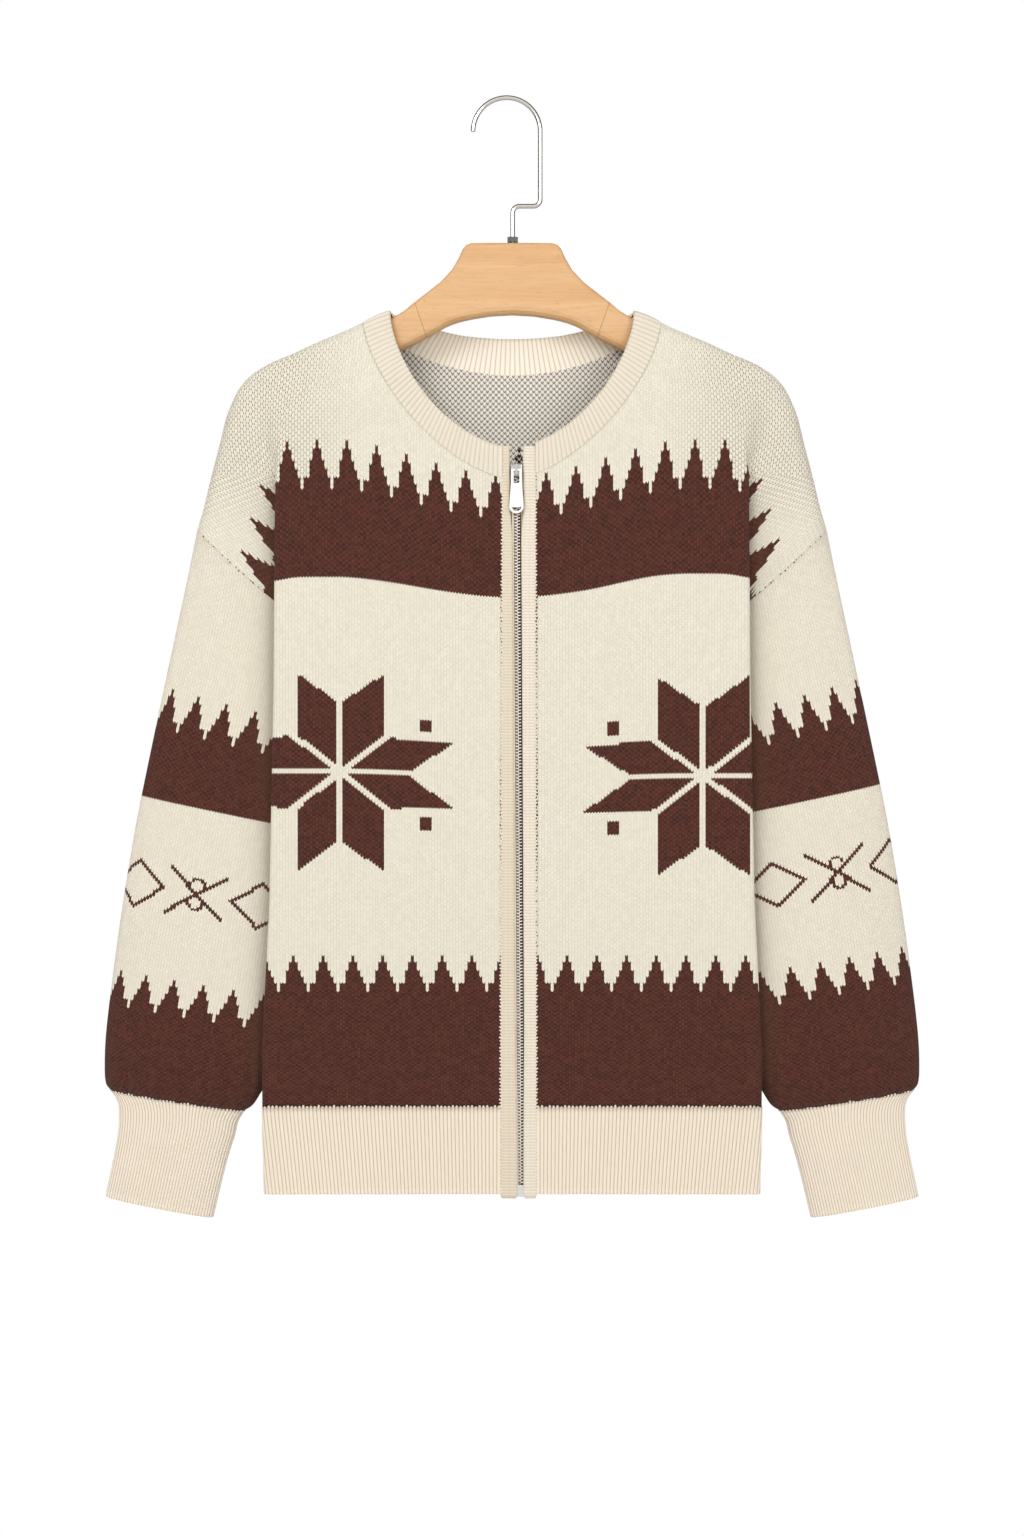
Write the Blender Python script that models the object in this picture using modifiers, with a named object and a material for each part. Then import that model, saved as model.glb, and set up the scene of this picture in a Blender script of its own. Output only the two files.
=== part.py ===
"""Zip cardigan in jacquard knit, hanging on a wooden hanger.

+X is the wearer's left, -Y is the front, +Z is up.  The origin is the inner
side of the hook's crown, above the middle of the garment.  Sizes are in
millimetres and become metres where a mesh or curve is made.

The panels are folded as a hung cardigan folds: each front lies flat to a soft
fold above the sleeve, runs back behind itself to a crease, and turns out again
to the armhole.  The sleeve hangs in the groove between the front and the back.
"""
import math

import bmesh
import bpy

MM = 0.001

# Cloth
WALL = 2.3                  # jacquard knit, two yarns thick
SEAM_GAP = 0.3
HALF_GAP = 0.5 * SEAM_GAP
FOLD_RADIUS = 3.4           # outer radius of the front fold
CREASE_RADIUS = 1.2         # inner radius of the hidden crease
RIDGE_RADIUS = 11.5         # rounding of the cloth over the hanger's arm
ARM_DEPTH = 14.3            # half depth of the drop shoulder and the sleeve head
RIDGE_BLEND_TOP = -200.0    # the rounding grows to the arm's depth below here
RIDGE_BLEND_HEIGHT = 60.0
EASE_START = 8.0            # the body deepens from this far below the ridge
EASE_LENGTH = 45.0
DIP_HALF_WIDTH = 173.0      # the hollow of the middle fades to nothing here
DIP_EASE = 60.0
STEP_WIDE = 30.0            # the yoke steps down to the arm over this width
STEP_NARROW = 7.0
STEP_TOP = -225.0           # and narrows over this height
STEP_HEIGHT = 55.0
UNDERARM_ROUNDING = 8.0
SIDE_REACH_TOP = 8.0        # rounding of the side seam under the arm and lower down
SIDE_REACH_LOW = 12.0
CREASE_REACH = 5.0
FRONT_STEPS = 5
TURN_STEPS = 4

# Heights on the body
FOLD_TOP = -280.0           # the front fold starts to form
FOLD_FULL = -296.0          # it lies closed from here down
FOLD_START_TURN = math.radians(75)
SHOULDER_POINT = (232.7, -318.5)
UNDERARM = (60.0, -437.0)
ARMHOLE_SAG = 11.8
GUSSET_SETTLE = 20.0
RIB_SEAM = -745.0
HEM_EDGE = -806.0
YOKE_DIP = 23.0             # the yoke ends this much lower at the zip than at the fold
YOKE_DIP_WIDTH = 150.0
YOKE_FADE = 110.0

# Neck: a curve from the centre front or back up to the shoulder ridge
NECK_HALF_WIDTH = 109.0
NECK_RIDGE = -164.5
NECK_FRONT_DROP = 118.9
NECK_FRONT_POWER = 1.57
NECK_BACK_DROP = 35.6
COLLAR_HALF_WIDTH = 88.0
COLLAR_RIDGE = -156.3
COLLAR_FRONT_DROP = 102.0
COLLAR_FRONT_POWER = 1.7
COLLAR_BACK_DROP = 14.6

# Ribs: distance from one rib to the next and how far each stands out
NECK_RIB = (3.5, 0.7)
HEM_RIB = (2.1, 0.45)
CUFF_RIB = (1.8, 0.45)
TUBE_SQUARENESS = 2.6       # how full the flattened sleeve is towards its edges

# Zip: the chain leans a little to the wearer's left on its way down
ZIP_TOP = (3.3, -284.0)
ZIP_FOOT = (6.3, -806.0)
PLACKET_TOP = -259.5
PLACKET_FOOT = -809.0
CHAIN_HALF_WIDTH = 2.9
TAPE_HALF_WIDTH = 12.0
PULL_AXIS_Z = -277.6
PARTING_TOP = -300.0        # the plackets part round the slider and close below it
PARTING_FOOT = -330.0
PARTING_WIDE = 4.8
PARTING_NARROW = 3.2
PLACKET = (-0.6, 2.2, 0.9)  # front and back from the panel's face, rounding
TAPE = (2.6, 3.4, 0.2)
CHAIN = (0.4, 2.3, 0.4)
TAPE_TOP = -265.5
TAPE_FOOT = -804.0
CHAIN_TOP = -282.4
CHAIN_FOOT = -799.0
SLIDER_HALF_WIDTH = 4.2
BOX_HALF_WIDTH = 2.9
BOX_MIDDLE = -803.0
TAB_HALF_THICKNESS = 0.6
TAB_OUT = 3.25              # the tab hangs this far in front of the panel's face

# Hanger
WOOD_HALF_THICKNESS = 6.3
WOOD_ROUNDING = 5.0
WOOD_CLEARANCE = 0.9
RIDGE_SLOPE_ALLOWANCE = 1.1
WOOD_CORNER_STEPS = 3
JOINT_X = 67.5
JOINT_LEAN = 0.35
PLATE_LEAN_START = 44.0     # the section starts to lean towards the joint here
ARM_LEAN_LENGTH = 20.0
ARM_RIDGE_X = 88.0          # the arm follows the shoulder seam from here out
ARM_TIP_X = 189.0
HOOK_WIRE = 1.7
HOOK_ARC = 24.85
HOOK_CENTRE_X = -3.95
HOOK_SHANK_X = 0.5
HOOK_CRANK_Z = -78.7
HOOK_BEND = 5.0
HOOK_ARC_STEPS = 18
HOOK_BEND_STEPS = 4
NUT_RADIUS = 4.5
NUT_HEIGHT = 3.7


def columns(names, *rows):
    """Turn a short table into one list for each named column."""
    return dict(zip(names.split(), (list(column) for column in zip(*rows))))


# Ridge of the shoulder seen from the front, then the outer edge of the sleeve
RIDGE = columns(
    "x z",
    (84.0, -156.2),
    (90.0, -156.4),
    (98.0, -159.4),
    (109.0, -164.5),
    (121.7, -170.5),
    (143.2, -179.4),
    (162.4, -188.3),
    (182.4, -197.1),
    (195.0, -206.0),
    (202.4, -214.9),
    (206.8, -223.8),
    (210.5, -232.7),
    (215.0, -250.4),
    (222.6, -280.0),
    (229.0, -306.0),
    (232.7, -318.5),
    (238.7, -348.0),
    (252.0, -410.0),
    (265.3, -472.4),
)

# Body by height: fold, depth in front of the mid plane, hollow of the middle, side seam
BODY = columns(
    "z fold depth dip seam",
    (-280.0, 173.0, 23.5, 2.0, 60.0),
    (-437.0, 174.2, 23.5, 2.0, 60.0),
    (-592.0, 177.3, 22.8, 1.6, 64.0),
    (-703.0, 182.9, 21.8, 1.2, 74.0),
    (-748.0, 182.6, 21.0, 1.0, 76.0),
    (-807.0, 181.2, 20.0, 1.0, 84.0),
)

# Panel edge beside the placket, by height
FRONT_EDGE = columns(
    "z right left",
    (-284.0, -6.9, 17.1),
    (-806.0, -8.4, 17.8),
)

# Sleeve rings from the armhole to the cuff seam
SLEEVE = columns(
    "outer_x outer_z inner_x inner_z half_depth sag",
    (232.7, -318.5, 60.0, -437.0, 14.3, 11.8),
    (240.0, -354.0, 70.5, -462.0, 13.6, 9.0),
    (252.0, -410.0, 86.0, -502.0, 13.0, 6.0),
    (265.3, -472.4, 104.0, -546.0, 13.0, 4.0),
    (277.9, -534.6, 122.0, -592.0, 13.0, 2.0),
    (288.2, -596.7, 141.0, -640.0, 13.2, 0.0),
    (295.6, -650.0, 158.0, -684.0, 14.4, 0.0),
    (300.0, -694.4, 175.0, -720.0, 16.8, 0.0),
    (301.0, -720.0, 186.0, -738.5, 18.0, 0.0),
    (298.5, -735.0, 193.5, -750.5, 15.5, 0.0),
    (293.6, -741.0, 203.0, -756.0, 11.6, 0.0),
)

CUFF = columns(
    "outer_x outer_z inner_x inner_z half_depth sag",
    (293.5, -741.4, 203.1, -756.4, 11.4, 0.0),
    (302.3, -811.0, 222.4, -827.0, 9.6, 0.0),
)

# Hanger seen from the front: top edge and underside by distance from the middle
WOOD = columns(
    "x top under",
    (0.0, -106.1, -159.3),
    (16.0, -106.1, -160.2),
    (30.0, -106.3, -162.5),
    (33.6, -107.6, -163.3),
    (36.2, -110.4, -163.9),
    (39.2, -117.2, -164.7),
    (44.4, -126.1, -166.4),
    (51.4, -135.0, -168.9),
    (60.3, -143.9, -172.7),
    (67.5, -150.0, -176.4),
)
ARM_UNDER = columns(
    "x under",
    (67.5, -176.4),
    (81.8, -185.3),
    (110.0, -200.0),
    (150.0, -214.5),
    (189.0, -224.0),
)
ARM_TOP_START = columns(
    "x top",
    (67.5, -150.0),
    (77.0, -156.2),
    (88.0, -161.4),
)

# The tab's outline from its hinge: half width across and height, top to bottom
TAB_EDGE = columns(
    "across up",
    (4.0, 0.75),
    (4.0, -9.6),
    (4.9, -22.0),
)
TAB_RING = (5.2, -27.0, 4.7)        # half width, height of its middle, drop below it
TAB_SLOT = columns(
    "across up",
    (-2.1, -0.75),
    (2.1, -0.75),
    (2.1, -9.0),
    (1.4, -9.7),
    (-1.4, -9.7),
    (-2.1, -9.0),
)
TAB_RING_GAP = (3.6, -26.6, 3.5, 0.8)   # half width, middle, drop, top's drop

YOKE_ROW_X = (109.0, 121.7, 143.2, 182.4, 195.0, 206.8, 215.0)
NECK_EDGE = {"left": 17.1, "right": 6.9, "back": 0.0}
ARMHOLE_STEPS = (0.02, 0.06, 0.14, 0.28, 0.45, 0.62, 0.78, 0.9, 0.96, 0.985)
RING_STEPS = (0.0,) + ARMHOLE_STEPS + (1.0,)


def read(table, column, key, value):
    """Read a column of a table at a value of its key column, straight between rows."""
    keys = table[key]
    values = table[column]
    if keys[0] > keys[-1]:
        keys = keys[::-1]
        values = values[::-1]
    if value <= keys[0]:
        return values[0]
    for index in range(1, len(keys)):
        if value <= keys[index]:
            share = (value - keys[index - 1]) / (keys[index] - keys[index - 1])
            return mix(values[index - 1], values[index], share)
    return values[-1]


def mix(first, second, share):
    return first + (second - first) * share


def smooth(value):
    value = min(max(value, 0.0), 1.0)
    return value * value * (3.0 - 2.0 * value)


def nose(distance, radius):
    """Height of a quarter circle, 0 at its edge and 1 from one radius inwards."""
    share = 1.0 - min(max(distance, 0.0), radius) / radius
    return math.sqrt(max(0.0, 1.0 - share * share))


# Meshes

def make_material(name, colour, roughness, metallic=0.0):
    material = bpy.data.materials.new(name)
    material.use_nodes = True
    shader = material.node_tree.nodes["Principled BSDF"]
    shader.inputs["Base Color"].default_value = (*colour, 1.0)
    shader.inputs["Roughness"].default_value = roughness
    shader.inputs["Metallic"].default_value = metallic
    material.diffuse_color = (*colour, 1.0)
    return material


def place(obj, material):
    """Put a finished object in the garment's collection with a material of its own."""
    obj.data.materials.clear()
    own = material.copy()
    own.name = obj.name + "_look"
    obj.data.materials.append(own)
    for collection in list(obj.users_collection):
        collection.objects.unlink(obj)
    PARTS.objects.link(obj)
    return obj


def mesh_object(name, points, faces, material):
    """Make a closed solid from points in millimetres, faces turned outwards."""
    mesh = bpy.data.meshes.new(name)
    mesh.from_pydata([tuple(MM * value for value in point) for point in points], [], faces)
    work = bmesh.new()
    work.from_mesh(mesh)
    bmesh.ops.recalc_face_normals(work, faces=work.faces)
    work.to_mesh(mesh)
    work.free()
    mesh.shade_smooth()
    mesh.set_sharp_from_angle(angle=math.radians(50))
    obj = bpy.data.objects.new(name, mesh)
    bpy.context.scene.collection.objects.link(obj)
    return place(obj, material)


def zip_rows(faces, first, second):
    """Fill between two rows of (share, index), which may differ in count."""
    i = 0
    j = 0
    while i < len(first) - 1 or j < len(second) - 1:
        step_first = j == len(second) - 1 or (
            i < len(first) - 1 and first[i + 1][0] <= second[j + 1][0] + 1e-9
        )
        if step_first:
            faces.append((first[i][1], first[i + 1][1], second[j][1]))
            i += 1
        else:
            faces.append((first[i][1], second[j + 1][1], second[j][1]))
            j += 1


def wall_object(name, outer_rows, inner_rows, material, tube=False):
    """Close a cloth wall from outer and inner rows of (share, point)."""
    points = []
    faces = []

    def numbered(rows):
        result = []
        for row in rows:
            start = len(points)
            points.extend(point for share, point in row)
            numbers = [(share, start + index) for index, (share, point) in enumerate(row)]
            if tube:
                numbers.append((1.0, start))
            result.append(numbers)
        return result

    outer = numbered(outer_rows)
    inner = numbered(inner_rows)
    for rows in (outer, inner):
        for first, second in zip(rows, rows[1:]):
            zip_rows(faces, first, second)
    zip_rows(faces, outer[0], inner[0])
    zip_rows(faces, outer[-1], inner[-1])
    if not tube:
        for end in (0, -1):
            outer_edge = [(index / (len(outer) - 1), row[end][1]) for index, row in enumerate(outer)]
            inner_edge = [(index / (len(inner) - 1), row[end][1]) for index, row in enumerate(inner)]
            zip_rows(faces, outer_edge, inner_edge)
    return mesh_object(name, points, faces, material)


def loft_object(name, rings, material):
    """Close a solid bar from rings of equal count."""
    points = [point for ring in rings for point in ring]
    count = len(rings[0])
    faces = []
    for ring in range(len(rings) - 1):
        for index in range(count):
            after = (index + 1) % count
            low = ring * count
            high = low + count
            faces.append((low + index, low + after, high + after, high + index))
    faces.append(tuple(range(count)))
    faces.append(tuple(len(points) - count + index for index in range(count)))
    return mesh_object(name, points, faces, material)


# Shape of the shoulders and the yoke

def edge_distance(x, z):
    """Distance from the ridge of the shoulder and the sleeve, seen from the front."""
    best = 1e9
    for index in range(len(RIDGE["x"]) - 1):
        start_x = RIDGE["x"][index]
        start_z = RIDGE["z"][index]
        span_x = RIDGE["x"][index + 1] - start_x
        span_z = RIDGE["z"][index + 1] - start_z
        share = ((x - start_x) * span_x + (z - start_z) * span_z) / (span_x ** 2 + span_z ** 2)
        share = min(max(share, 0.0), 1.0)
        best = min(best, math.hypot(x - start_x - share * span_x, z - start_z - share * span_z))
    return best


def ridge_radius(z):
    return mix(RIDGE_RADIUS, ARM_DEPTH, smooth((RIDGE_BLEND_TOP - z) / RIDGE_BLEND_HEIGHT))


def arm_depth(x, z):
    radius = ridge_radius(z)
    return radius * nose(edge_distance(x, z), radius)


def cloth_depth(x, z):
    """How far the yoke and the neckband stand from the mid plane."""
    distance = edge_distance(x, z)
    shallow = arm_depth(x, z)
    full = read(BODY, "depth", "z", z) - ridge_radius(z)
    deep = shallow + full * smooth((distance - EASE_START) / EASE_LENGTH)
    hollow = 1.0 - (x / DIP_HALF_WIDTH) ** 2
    deep -= read(BODY, "dip", "z", z) * hollow * smooth(distance / DIP_EASE)
    step_start = read(BODY, "fold", "z", z) - FOLD_RADIUS
    step_width = mix(STEP_WIDE, STEP_NARROW, smooth((STEP_TOP - z) / STEP_HEIGHT))
    return mix(deep, shallow, smooth((x - step_start) / step_width))


def cloth_normal(x, z):
    """Outward normal of the front surface."""
    reach = 0.15
    if edge_distance(x, z) < 0.02:
        return ridge_normal(x, z)
    slope_x = (cloth_depth(x + reach, z) - cloth_depth(x - reach, z)) / (2 * reach)
    slope_z = (cloth_depth(x, z + reach) - cloth_depth(x, z - reach)) / (2 * reach)
    length = math.sqrt(slope_x ** 2 + slope_z ** 2 + 1.0)
    return (-slope_x / length, -1.0 / length, -slope_z / length)


def ridge_normal(x, z):
    """Outward normal on the ridge, which lies in the mid plane."""
    inside = (x - 60.0, z + 300.0)
    best = (1e9, (0.0, 1.0))
    for index in range(len(RIDGE["x"]) - 1):
        start_x = RIDGE["x"][index]
        start_z = RIDGE["z"][index]
        span_x = RIDGE["x"][index + 1] - start_x
        span_z = RIDGE["z"][index + 1] - start_z
        share = ((x - start_x) * span_x + (z - start_z) * span_z) / (span_x ** 2 + span_z ** 2)
        share = min(max(share, 0.0), 1.0)
        distance = math.hypot(x - start_x - share * span_x, z - start_z - share * span_z)
        if distance < best[0]:
            length = math.hypot(span_x, span_z)
            best = (distance, (-span_z / length, span_x / length))
    across_x, across_z = best[1]
    if across_x * inside[0] + across_z * inside[1] < 0.0:
        across_x, across_z = -across_x, -across_z
    return (across_x, 0.0, across_z)


def ridge_shares():
    """Where the yoke's rows meet the ridge: neckline (0) to the top of the fold (1)."""
    start = RIDGE["x"].index(NECK_HALF_WIDTH)
    end = RIDGE["z"].index(FOLD_TOP)
    knots = [(RIDGE["x"][index], RIDGE["z"][index]) for index in range(start, end + 1)]
    lengths = [0.0]
    for first, second in zip(knots, knots[1:]):
        lengths.append(lengths[-1] + math.dist(first, second))
    return [
        (length / lengths[-1], knot)
        for length, knot in zip(lengths, knots) if knot[0] in YOKE_ROW_X
    ]


def yoke_drop(x):
    return YOKE_DIP * (1.0 - smooth(x / YOKE_DIP_WIDTH))


def front_neck(share, edge_x, half_width, ridge_z, drop, power):
    """Point of the front neckline, from the zip edge (0) to the shoulder (1)."""
    start = math.asin((edge_x / half_width) ** (power / 2.0)) if edge_x > 0 else 0.0
    angle = mix(start, 0.5 * math.pi, share)
    x = half_width * math.sin(angle) ** (2.0 / power)
    z = ridge_z - drop * max(0.0, math.cos(angle)) ** (2.0 / power)
    if share >= 1.0:
        return (half_width, ridge_z)
    return (x, z)


def back_neck(share, half_width, ridge_z, drop):
    """Point of the back neckline, from the centre back (0) to the shoulder (1)."""
    if share >= 1.0:
        return (half_width, ridge_z)
    x = half_width * math.sin(0.5 * math.pi * share)
    return (x, ridge_z - drop * (1.0 - (x / half_width) ** 2))


# Shape of the folded body, one row for each height

def armhole_point(share):
    """Point of the armhole seam seen from the front, shoulder (0) to underarm (1)."""
    span_x = UNDERARM[0] - SHOULDER_POINT[0]
    span_z = UNDERARM[1] - SHOULDER_POINT[1]
    length = math.hypot(span_x, span_z)
    sag = ARMHOLE_SAG * math.sin(math.pi * share)
    x = SHOULDER_POINT[0] + span_x * share - sag * span_z / length
    z = SHOULDER_POINT[1] + span_z * share + sag * span_x / length
    return (x, z)


def underarm_ease(z):
    return nose(z - UNDERARM[1], UNDERARM_ROUNDING)


GROUPS = columns(
    "name start end",
    ("front", 0.0, 0.6),
    ("fold", 0.6, 0.68),
    ("return", 0.68, 0.78),
    ("crease", 0.78, 0.86),
    ("arm", 0.86, 1.0),
)


def group_share(name, part):
    index = GROUPS["name"].index(name)
    return mix(GROUPS["start"][index], GROUPS["end"][index], part)


def body_row(z, edge_x, end_x=None):
    """Path of the cloth's right side at one height, from the zip edge to the side.

    Returns rows of (share, x, y).  end_x is where the drop shoulder meets the
    ridge or the armhole; without it the row ends at the side seam.
    """
    fold = read(BODY, "fold", "z", z)
    depth = read(BODY, "depth", "z", z)
    dip = read(BODY, "dip", "z", z)
    start_x = fold - FOLD_RADIUS
    path = []
    for step in range(FRONT_STEPS):
        part = step / FRONT_STEPS
        x = mix(edge_x, start_x, part)
        drop = dip * (1.0 - (x / start_x) ** 2)
        path.append((group_share("front", part), x, drop - depth))
    turn = mix(FOLD_START_TURN, math.pi, smooth((FOLD_TOP - z) / (FOLD_TOP - FOLD_FULL)))
    for step in range(TURN_STEPS + 1):
        part = step / TURN_STEPS
        angle = turn * part
        x = start_x + FOLD_RADIUS * math.sin(angle)
        y = FOLD_RADIUS * (1.0 - math.cos(angle)) - depth
        path.append((group_share("fold", part), x, y))
    back_x, back_y = path[-1][1:]
    if end_x is None:
        settle = smooth((UNDERARM[1] - z) / GUSSET_SETTLE)
        reach = mix(SIDE_REACH_TOP, SIDE_REACH_LOW, settle)
        seam_x = read(BODY, "seam", "z", z)
        turn_x = seam_x + reach
        for step in range(TURN_STEPS + 1):
            part = step / TURN_STEPS
            angle = 0.5 * math.pi * part
            x = turn_x - reach * math.sin(angle)
            y = back_y * math.cos(angle)
            share = mix(group_share("crease", 0.0), 1.0, part)
            path.append((share, x, min(y, -HALF_GAP)))
        return path
    end_y = ARM_DEPTH * underarm_ease(z)
    crease = 0.5 * (-back_y - end_y)
    if z > FOLD_FULL:
        crease = CREASE_RADIUS
        rise = depth - ARM_DEPTH - (FOLD_RADIUS + crease) * (1.0 - math.cos(turn))
        run = max(0.0, rise / max(math.sin(turn), 0.05))
    else:
        share = (FOLD_FULL - z) / (FOLD_FULL - UNDERARM[1])
        run = start_x - mix(start_x, UNDERARM[0], share)
    turn_x = back_x + run * math.cos(turn)
    turn_y = back_y + run * math.sin(turn)
    reach = min(crease, CREASE_REACH)
    for step in range(TURN_STEPS + 1):
        part = step / TURN_STEPS
        angle = turn * (1.0 - part)
        x = turn_x + reach * (math.sin(turn) - math.sin(angle))
        y = turn_y - crease * (math.cos(turn) - math.cos(angle))
        path.append((group_share("crease", part), x, y))
    arm_x, arm_y = path[-1][1:]
    for part in (0.5, 0.8, 0.93, 0.98, 1.0):
        x = mix(arm_x, end_x, part)
        y = -arm_depth(x, z) * underarm_ease(z)
        y = mix(arm_y, y, smooth(part / 0.5))
        path.append((group_share("arm", part), x, min(y, -HALF_GAP)))
    return path


def path_normals(path, ridge_end):
    """Right-side normal at each point of a row, in the row's own plane."""
    normals = []
    for index in range(len(path)):
        before = path[max(index - 1, 0)]
        after = path[min(index + 1, len(path) - 1)]
        run_x = after[1] - before[1]
        run_y = after[2] - before[2]
        length = math.hypot(run_x, run_y)
        normals.append((run_y / length, -run_x / length, 0.0))
    if ridge_end:
        normals[-1] = (1.0, 0.0, 0.0)
    return normals


def row_heights():
    """Heights of the body's rows, with where each ends on the ridge or the armhole."""
    rows = []
    for z in (FOLD_TOP, -288.0, FOLD_FULL, -307.0, SHOULDER_POINT[1]):
        rows.append((z, read(RIDGE, "x", "z", z), True))
    for share in ARMHOLE_STEPS:
        x, z = armhole_point(share)
        rows.append((z, x, False))
    for z in (UNDERARM[1], -446.0, -457.0, -500.0, -560.0, -620.0, -680.0, RIB_SEAM):
        rows.append((z, None, True))
    return rows


def lower_rows(side):
    """Rows of (share, point, normal) from the top of the fold to the rib seam."""
    rows = []
    for z, end_x, seam_end in row_heights():
        edge_x = read(FRONT_EDGE, side, "z", z) if side != "back" else 0.0
        if side == "right":
            edge_x = -edge_x
        path = body_row(z, edge_x, end_x)
        normals = path_normals(path, seam_end)
        fade = 1.0 - smooth((FOLD_TOP - z) / YOKE_FADE)
        row = []
        for (share, x, y), normal in zip(path, normals):
            drop = fade * yoke_drop(x) if share < group_share("fold", 0.0) else 0.0
            if share == 0.0:
                normal = (0.0, -1.0, 0.0)
            row.append((share, (x, y, z - drop), normal))
        rows.append(row)
    return rows


def yoke_columns(bottom):
    """Columns that go on up into the yoke, as (share across, share, point)."""
    fold_end = group_share("fold", 1.0)
    first_x = bottom[0][1][0]
    last_x = bottom[-1][1][0]
    return [
        ((point[0] - first_x) / (last_x - first_x), share, point)
        for share, point, normal in bottom
        if share <= group_share("fold", 0.0) or share == fold_end
        or share >= group_share("crease", 1.0)
    ]


def yoke_rows(side, bottom):
    """Rows of the yoke, from the neckline down to the first row of the body."""
    edge_x = NECK_EDGE[side]
    rows = []
    for down, (right_x, right_z) in ridge_shares():
        corner_top = neck_point(side, 1.0, edge_x)
        centre_top = neck_point(side, 0.0, edge_x)
        centre_low = (bottom[0][1][0], bottom[0][1][2])
        corner_low = (bottom[-1][1][0], bottom[-1][1][2])
        left_x = mix(centre_top[0], centre_low[0], down)
        left_z = mix(centre_top[1], centre_low[1], down)
        row = []
        for across, share, point in yoke_columns(bottom):
            top_x, top_z = neck_point(side, across, edge_x)
            x = mix(top_x, point[0], down) + mix(left_x, right_x, across)
            z = mix(top_z, point[2], down) + mix(left_z, right_z, across)
            x -= mix(mix(centre_top[0], corner_top[0], across),
                     mix(centre_low[0], corner_low[0], across), down)
            z -= mix(mix(centre_top[1], corner_top[1], across),
                     mix(centre_low[1], corner_low[1], across), down)
            if share >= 1.0:
                normal = ridge_normal(x, z)
                y = -HALF_GAP
            else:
                normal = cloth_normal(x, z)
                y = -max(cloth_depth(x, z), HALF_GAP)
            row.append((share, (x, y, z), normal))
        rows.append(row)
    return rows


def neck_point(side, share, edge_x):
    if side == "back":
        return back_neck(share, NECK_HALF_WIDTH, NECK_RIDGE, NECK_BACK_DROP)
    return front_neck(
        share, edge_x, NECK_HALF_WIDTH, NECK_RIDGE, NECK_FRONT_DROP, NECK_FRONT_POWER
    )


def panel_rows(side):
    lower = lower_rows(side)
    return yoke_rows(side, lower[0]) + lower


def flip(row, across=False, through=False):
    """Mirror a row of (share, point, normal) left to right or front to back."""
    sign_x = -1.0 if across else 1.0
    sign_y = -1.0 if through else 1.0
    return [
        (share, (sign_x * point[0], sign_y * point[1], point[2]),
         (sign_x * normal[0], sign_y * normal[1], normal[2]))
        for share, point, normal in row
    ]


def whole_row(row):
    """Join a half row that starts in the middle with its mirror image."""
    left = [(1.0 - share, point, normal) for share, point, normal in flip(row, across=True)]
    left = [(0.5 * share, point, normal) for share, point, normal in reversed(left)]
    right = [(0.5 + 0.5 * share, point, normal) for share, point, normal in row[1:]]
    return left + right


def outside(row):
    return [(share, point) for share, point, normal in row]


def inside(row, wall=WALL):
    return [(share, moved(point, normal, -wall)) for share, point, normal in row]


def moved(point, normal, distance):
    return tuple(value + distance * part for value, part in zip(point, normal))


def ribbed(row, pitch, relief, last_share=1.0):
    """Cut a row into ribs, whose crests stand out from the cloth by the relief."""
    result = []
    for first, second in zip(row, row[1:]):
        if first[0] >= last_share:
            result.append((first[0], first[1]))
            continue
        length = math.dist(first[1], second[1])
        count = max(1, round(length / pitch)) * 2
        for step in range(count):
            part = step / count
            point = tuple(mix(a, b, part) for a, b in zip(first[1], second[1]))
            normal = tuple(mix(a, b, part) for a, b in zip(first[2], second[2]))
            height = relief if step % 2 else 0.0
            result.append((mix(first[0], second[0], part), moved(point, normal, height)))
    result.append((row[-1][0], row[-1][1]))
    return result


# Pieces of cloth

def make_panels(material):
    left = panel_rows("left")
    right = [flip(row, across=True) for row in panel_rows("right")]
    back = [whole_row(flip(row, through=True)) for row in panel_rows("back")]
    for name, rows in (("front_left", left), ("front_right", right), ("back", back)):
        wall_object(name, [outside(row) for row in rows], [inside(row) for row in rows], material)


def hem_rows(side):
    rows = []
    for z in (RIB_SEAM - SEAM_GAP, HEM_EDGE):
        edge_x = read(FRONT_EDGE, side, "z", z) if side != "back" else 0.0
        if side == "right":
            edge_x = -edge_x
        path = body_row(z, edge_x)
        normals = path_normals(path, True)
        normals[0] = (0.0, -1.0, 0.0)
        rows.append([
            (share, (x, y, z), normal) for (share, x, y), normal in zip(path, normals)
        ])
    return rows


def make_hem(material):
    pitch, relief = HEM_RIB
    fold_end = group_share("fold", 1.0)

    def ribs(row):
        return ribbed(row, pitch, relief, fold_end)

    left = hem_rows("left")
    right = [flip(row, across=True) for row in hem_rows("right")]
    half = [flip(row, through=True) for row in hem_rows("back")]
    back_outer = []
    for row in half:
        ribbed_half = [(share, point, (0.0, 0.0, 0.0)) for share, point in ribs(row)]
        back_outer.append(outside(whole_row(ribbed_half)))
    wall_object("hem_front_left", [ribs(row) for row in left], [inside(row) for row in left], material)
    wall_object("hem_front_right", [ribs(row) for row in right], [inside(row) for row in right], material)
    wall_object("hem_back", back_outer, [inside(whole_row(row)) for row in half], material)


def neck_shares(side):
    """Shares along the neckline where the panel's columns meet it, middle to shoulder."""
    top = yoke_columns(lower_rows(side)[0])
    return [across for across, share, point in top]


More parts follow.
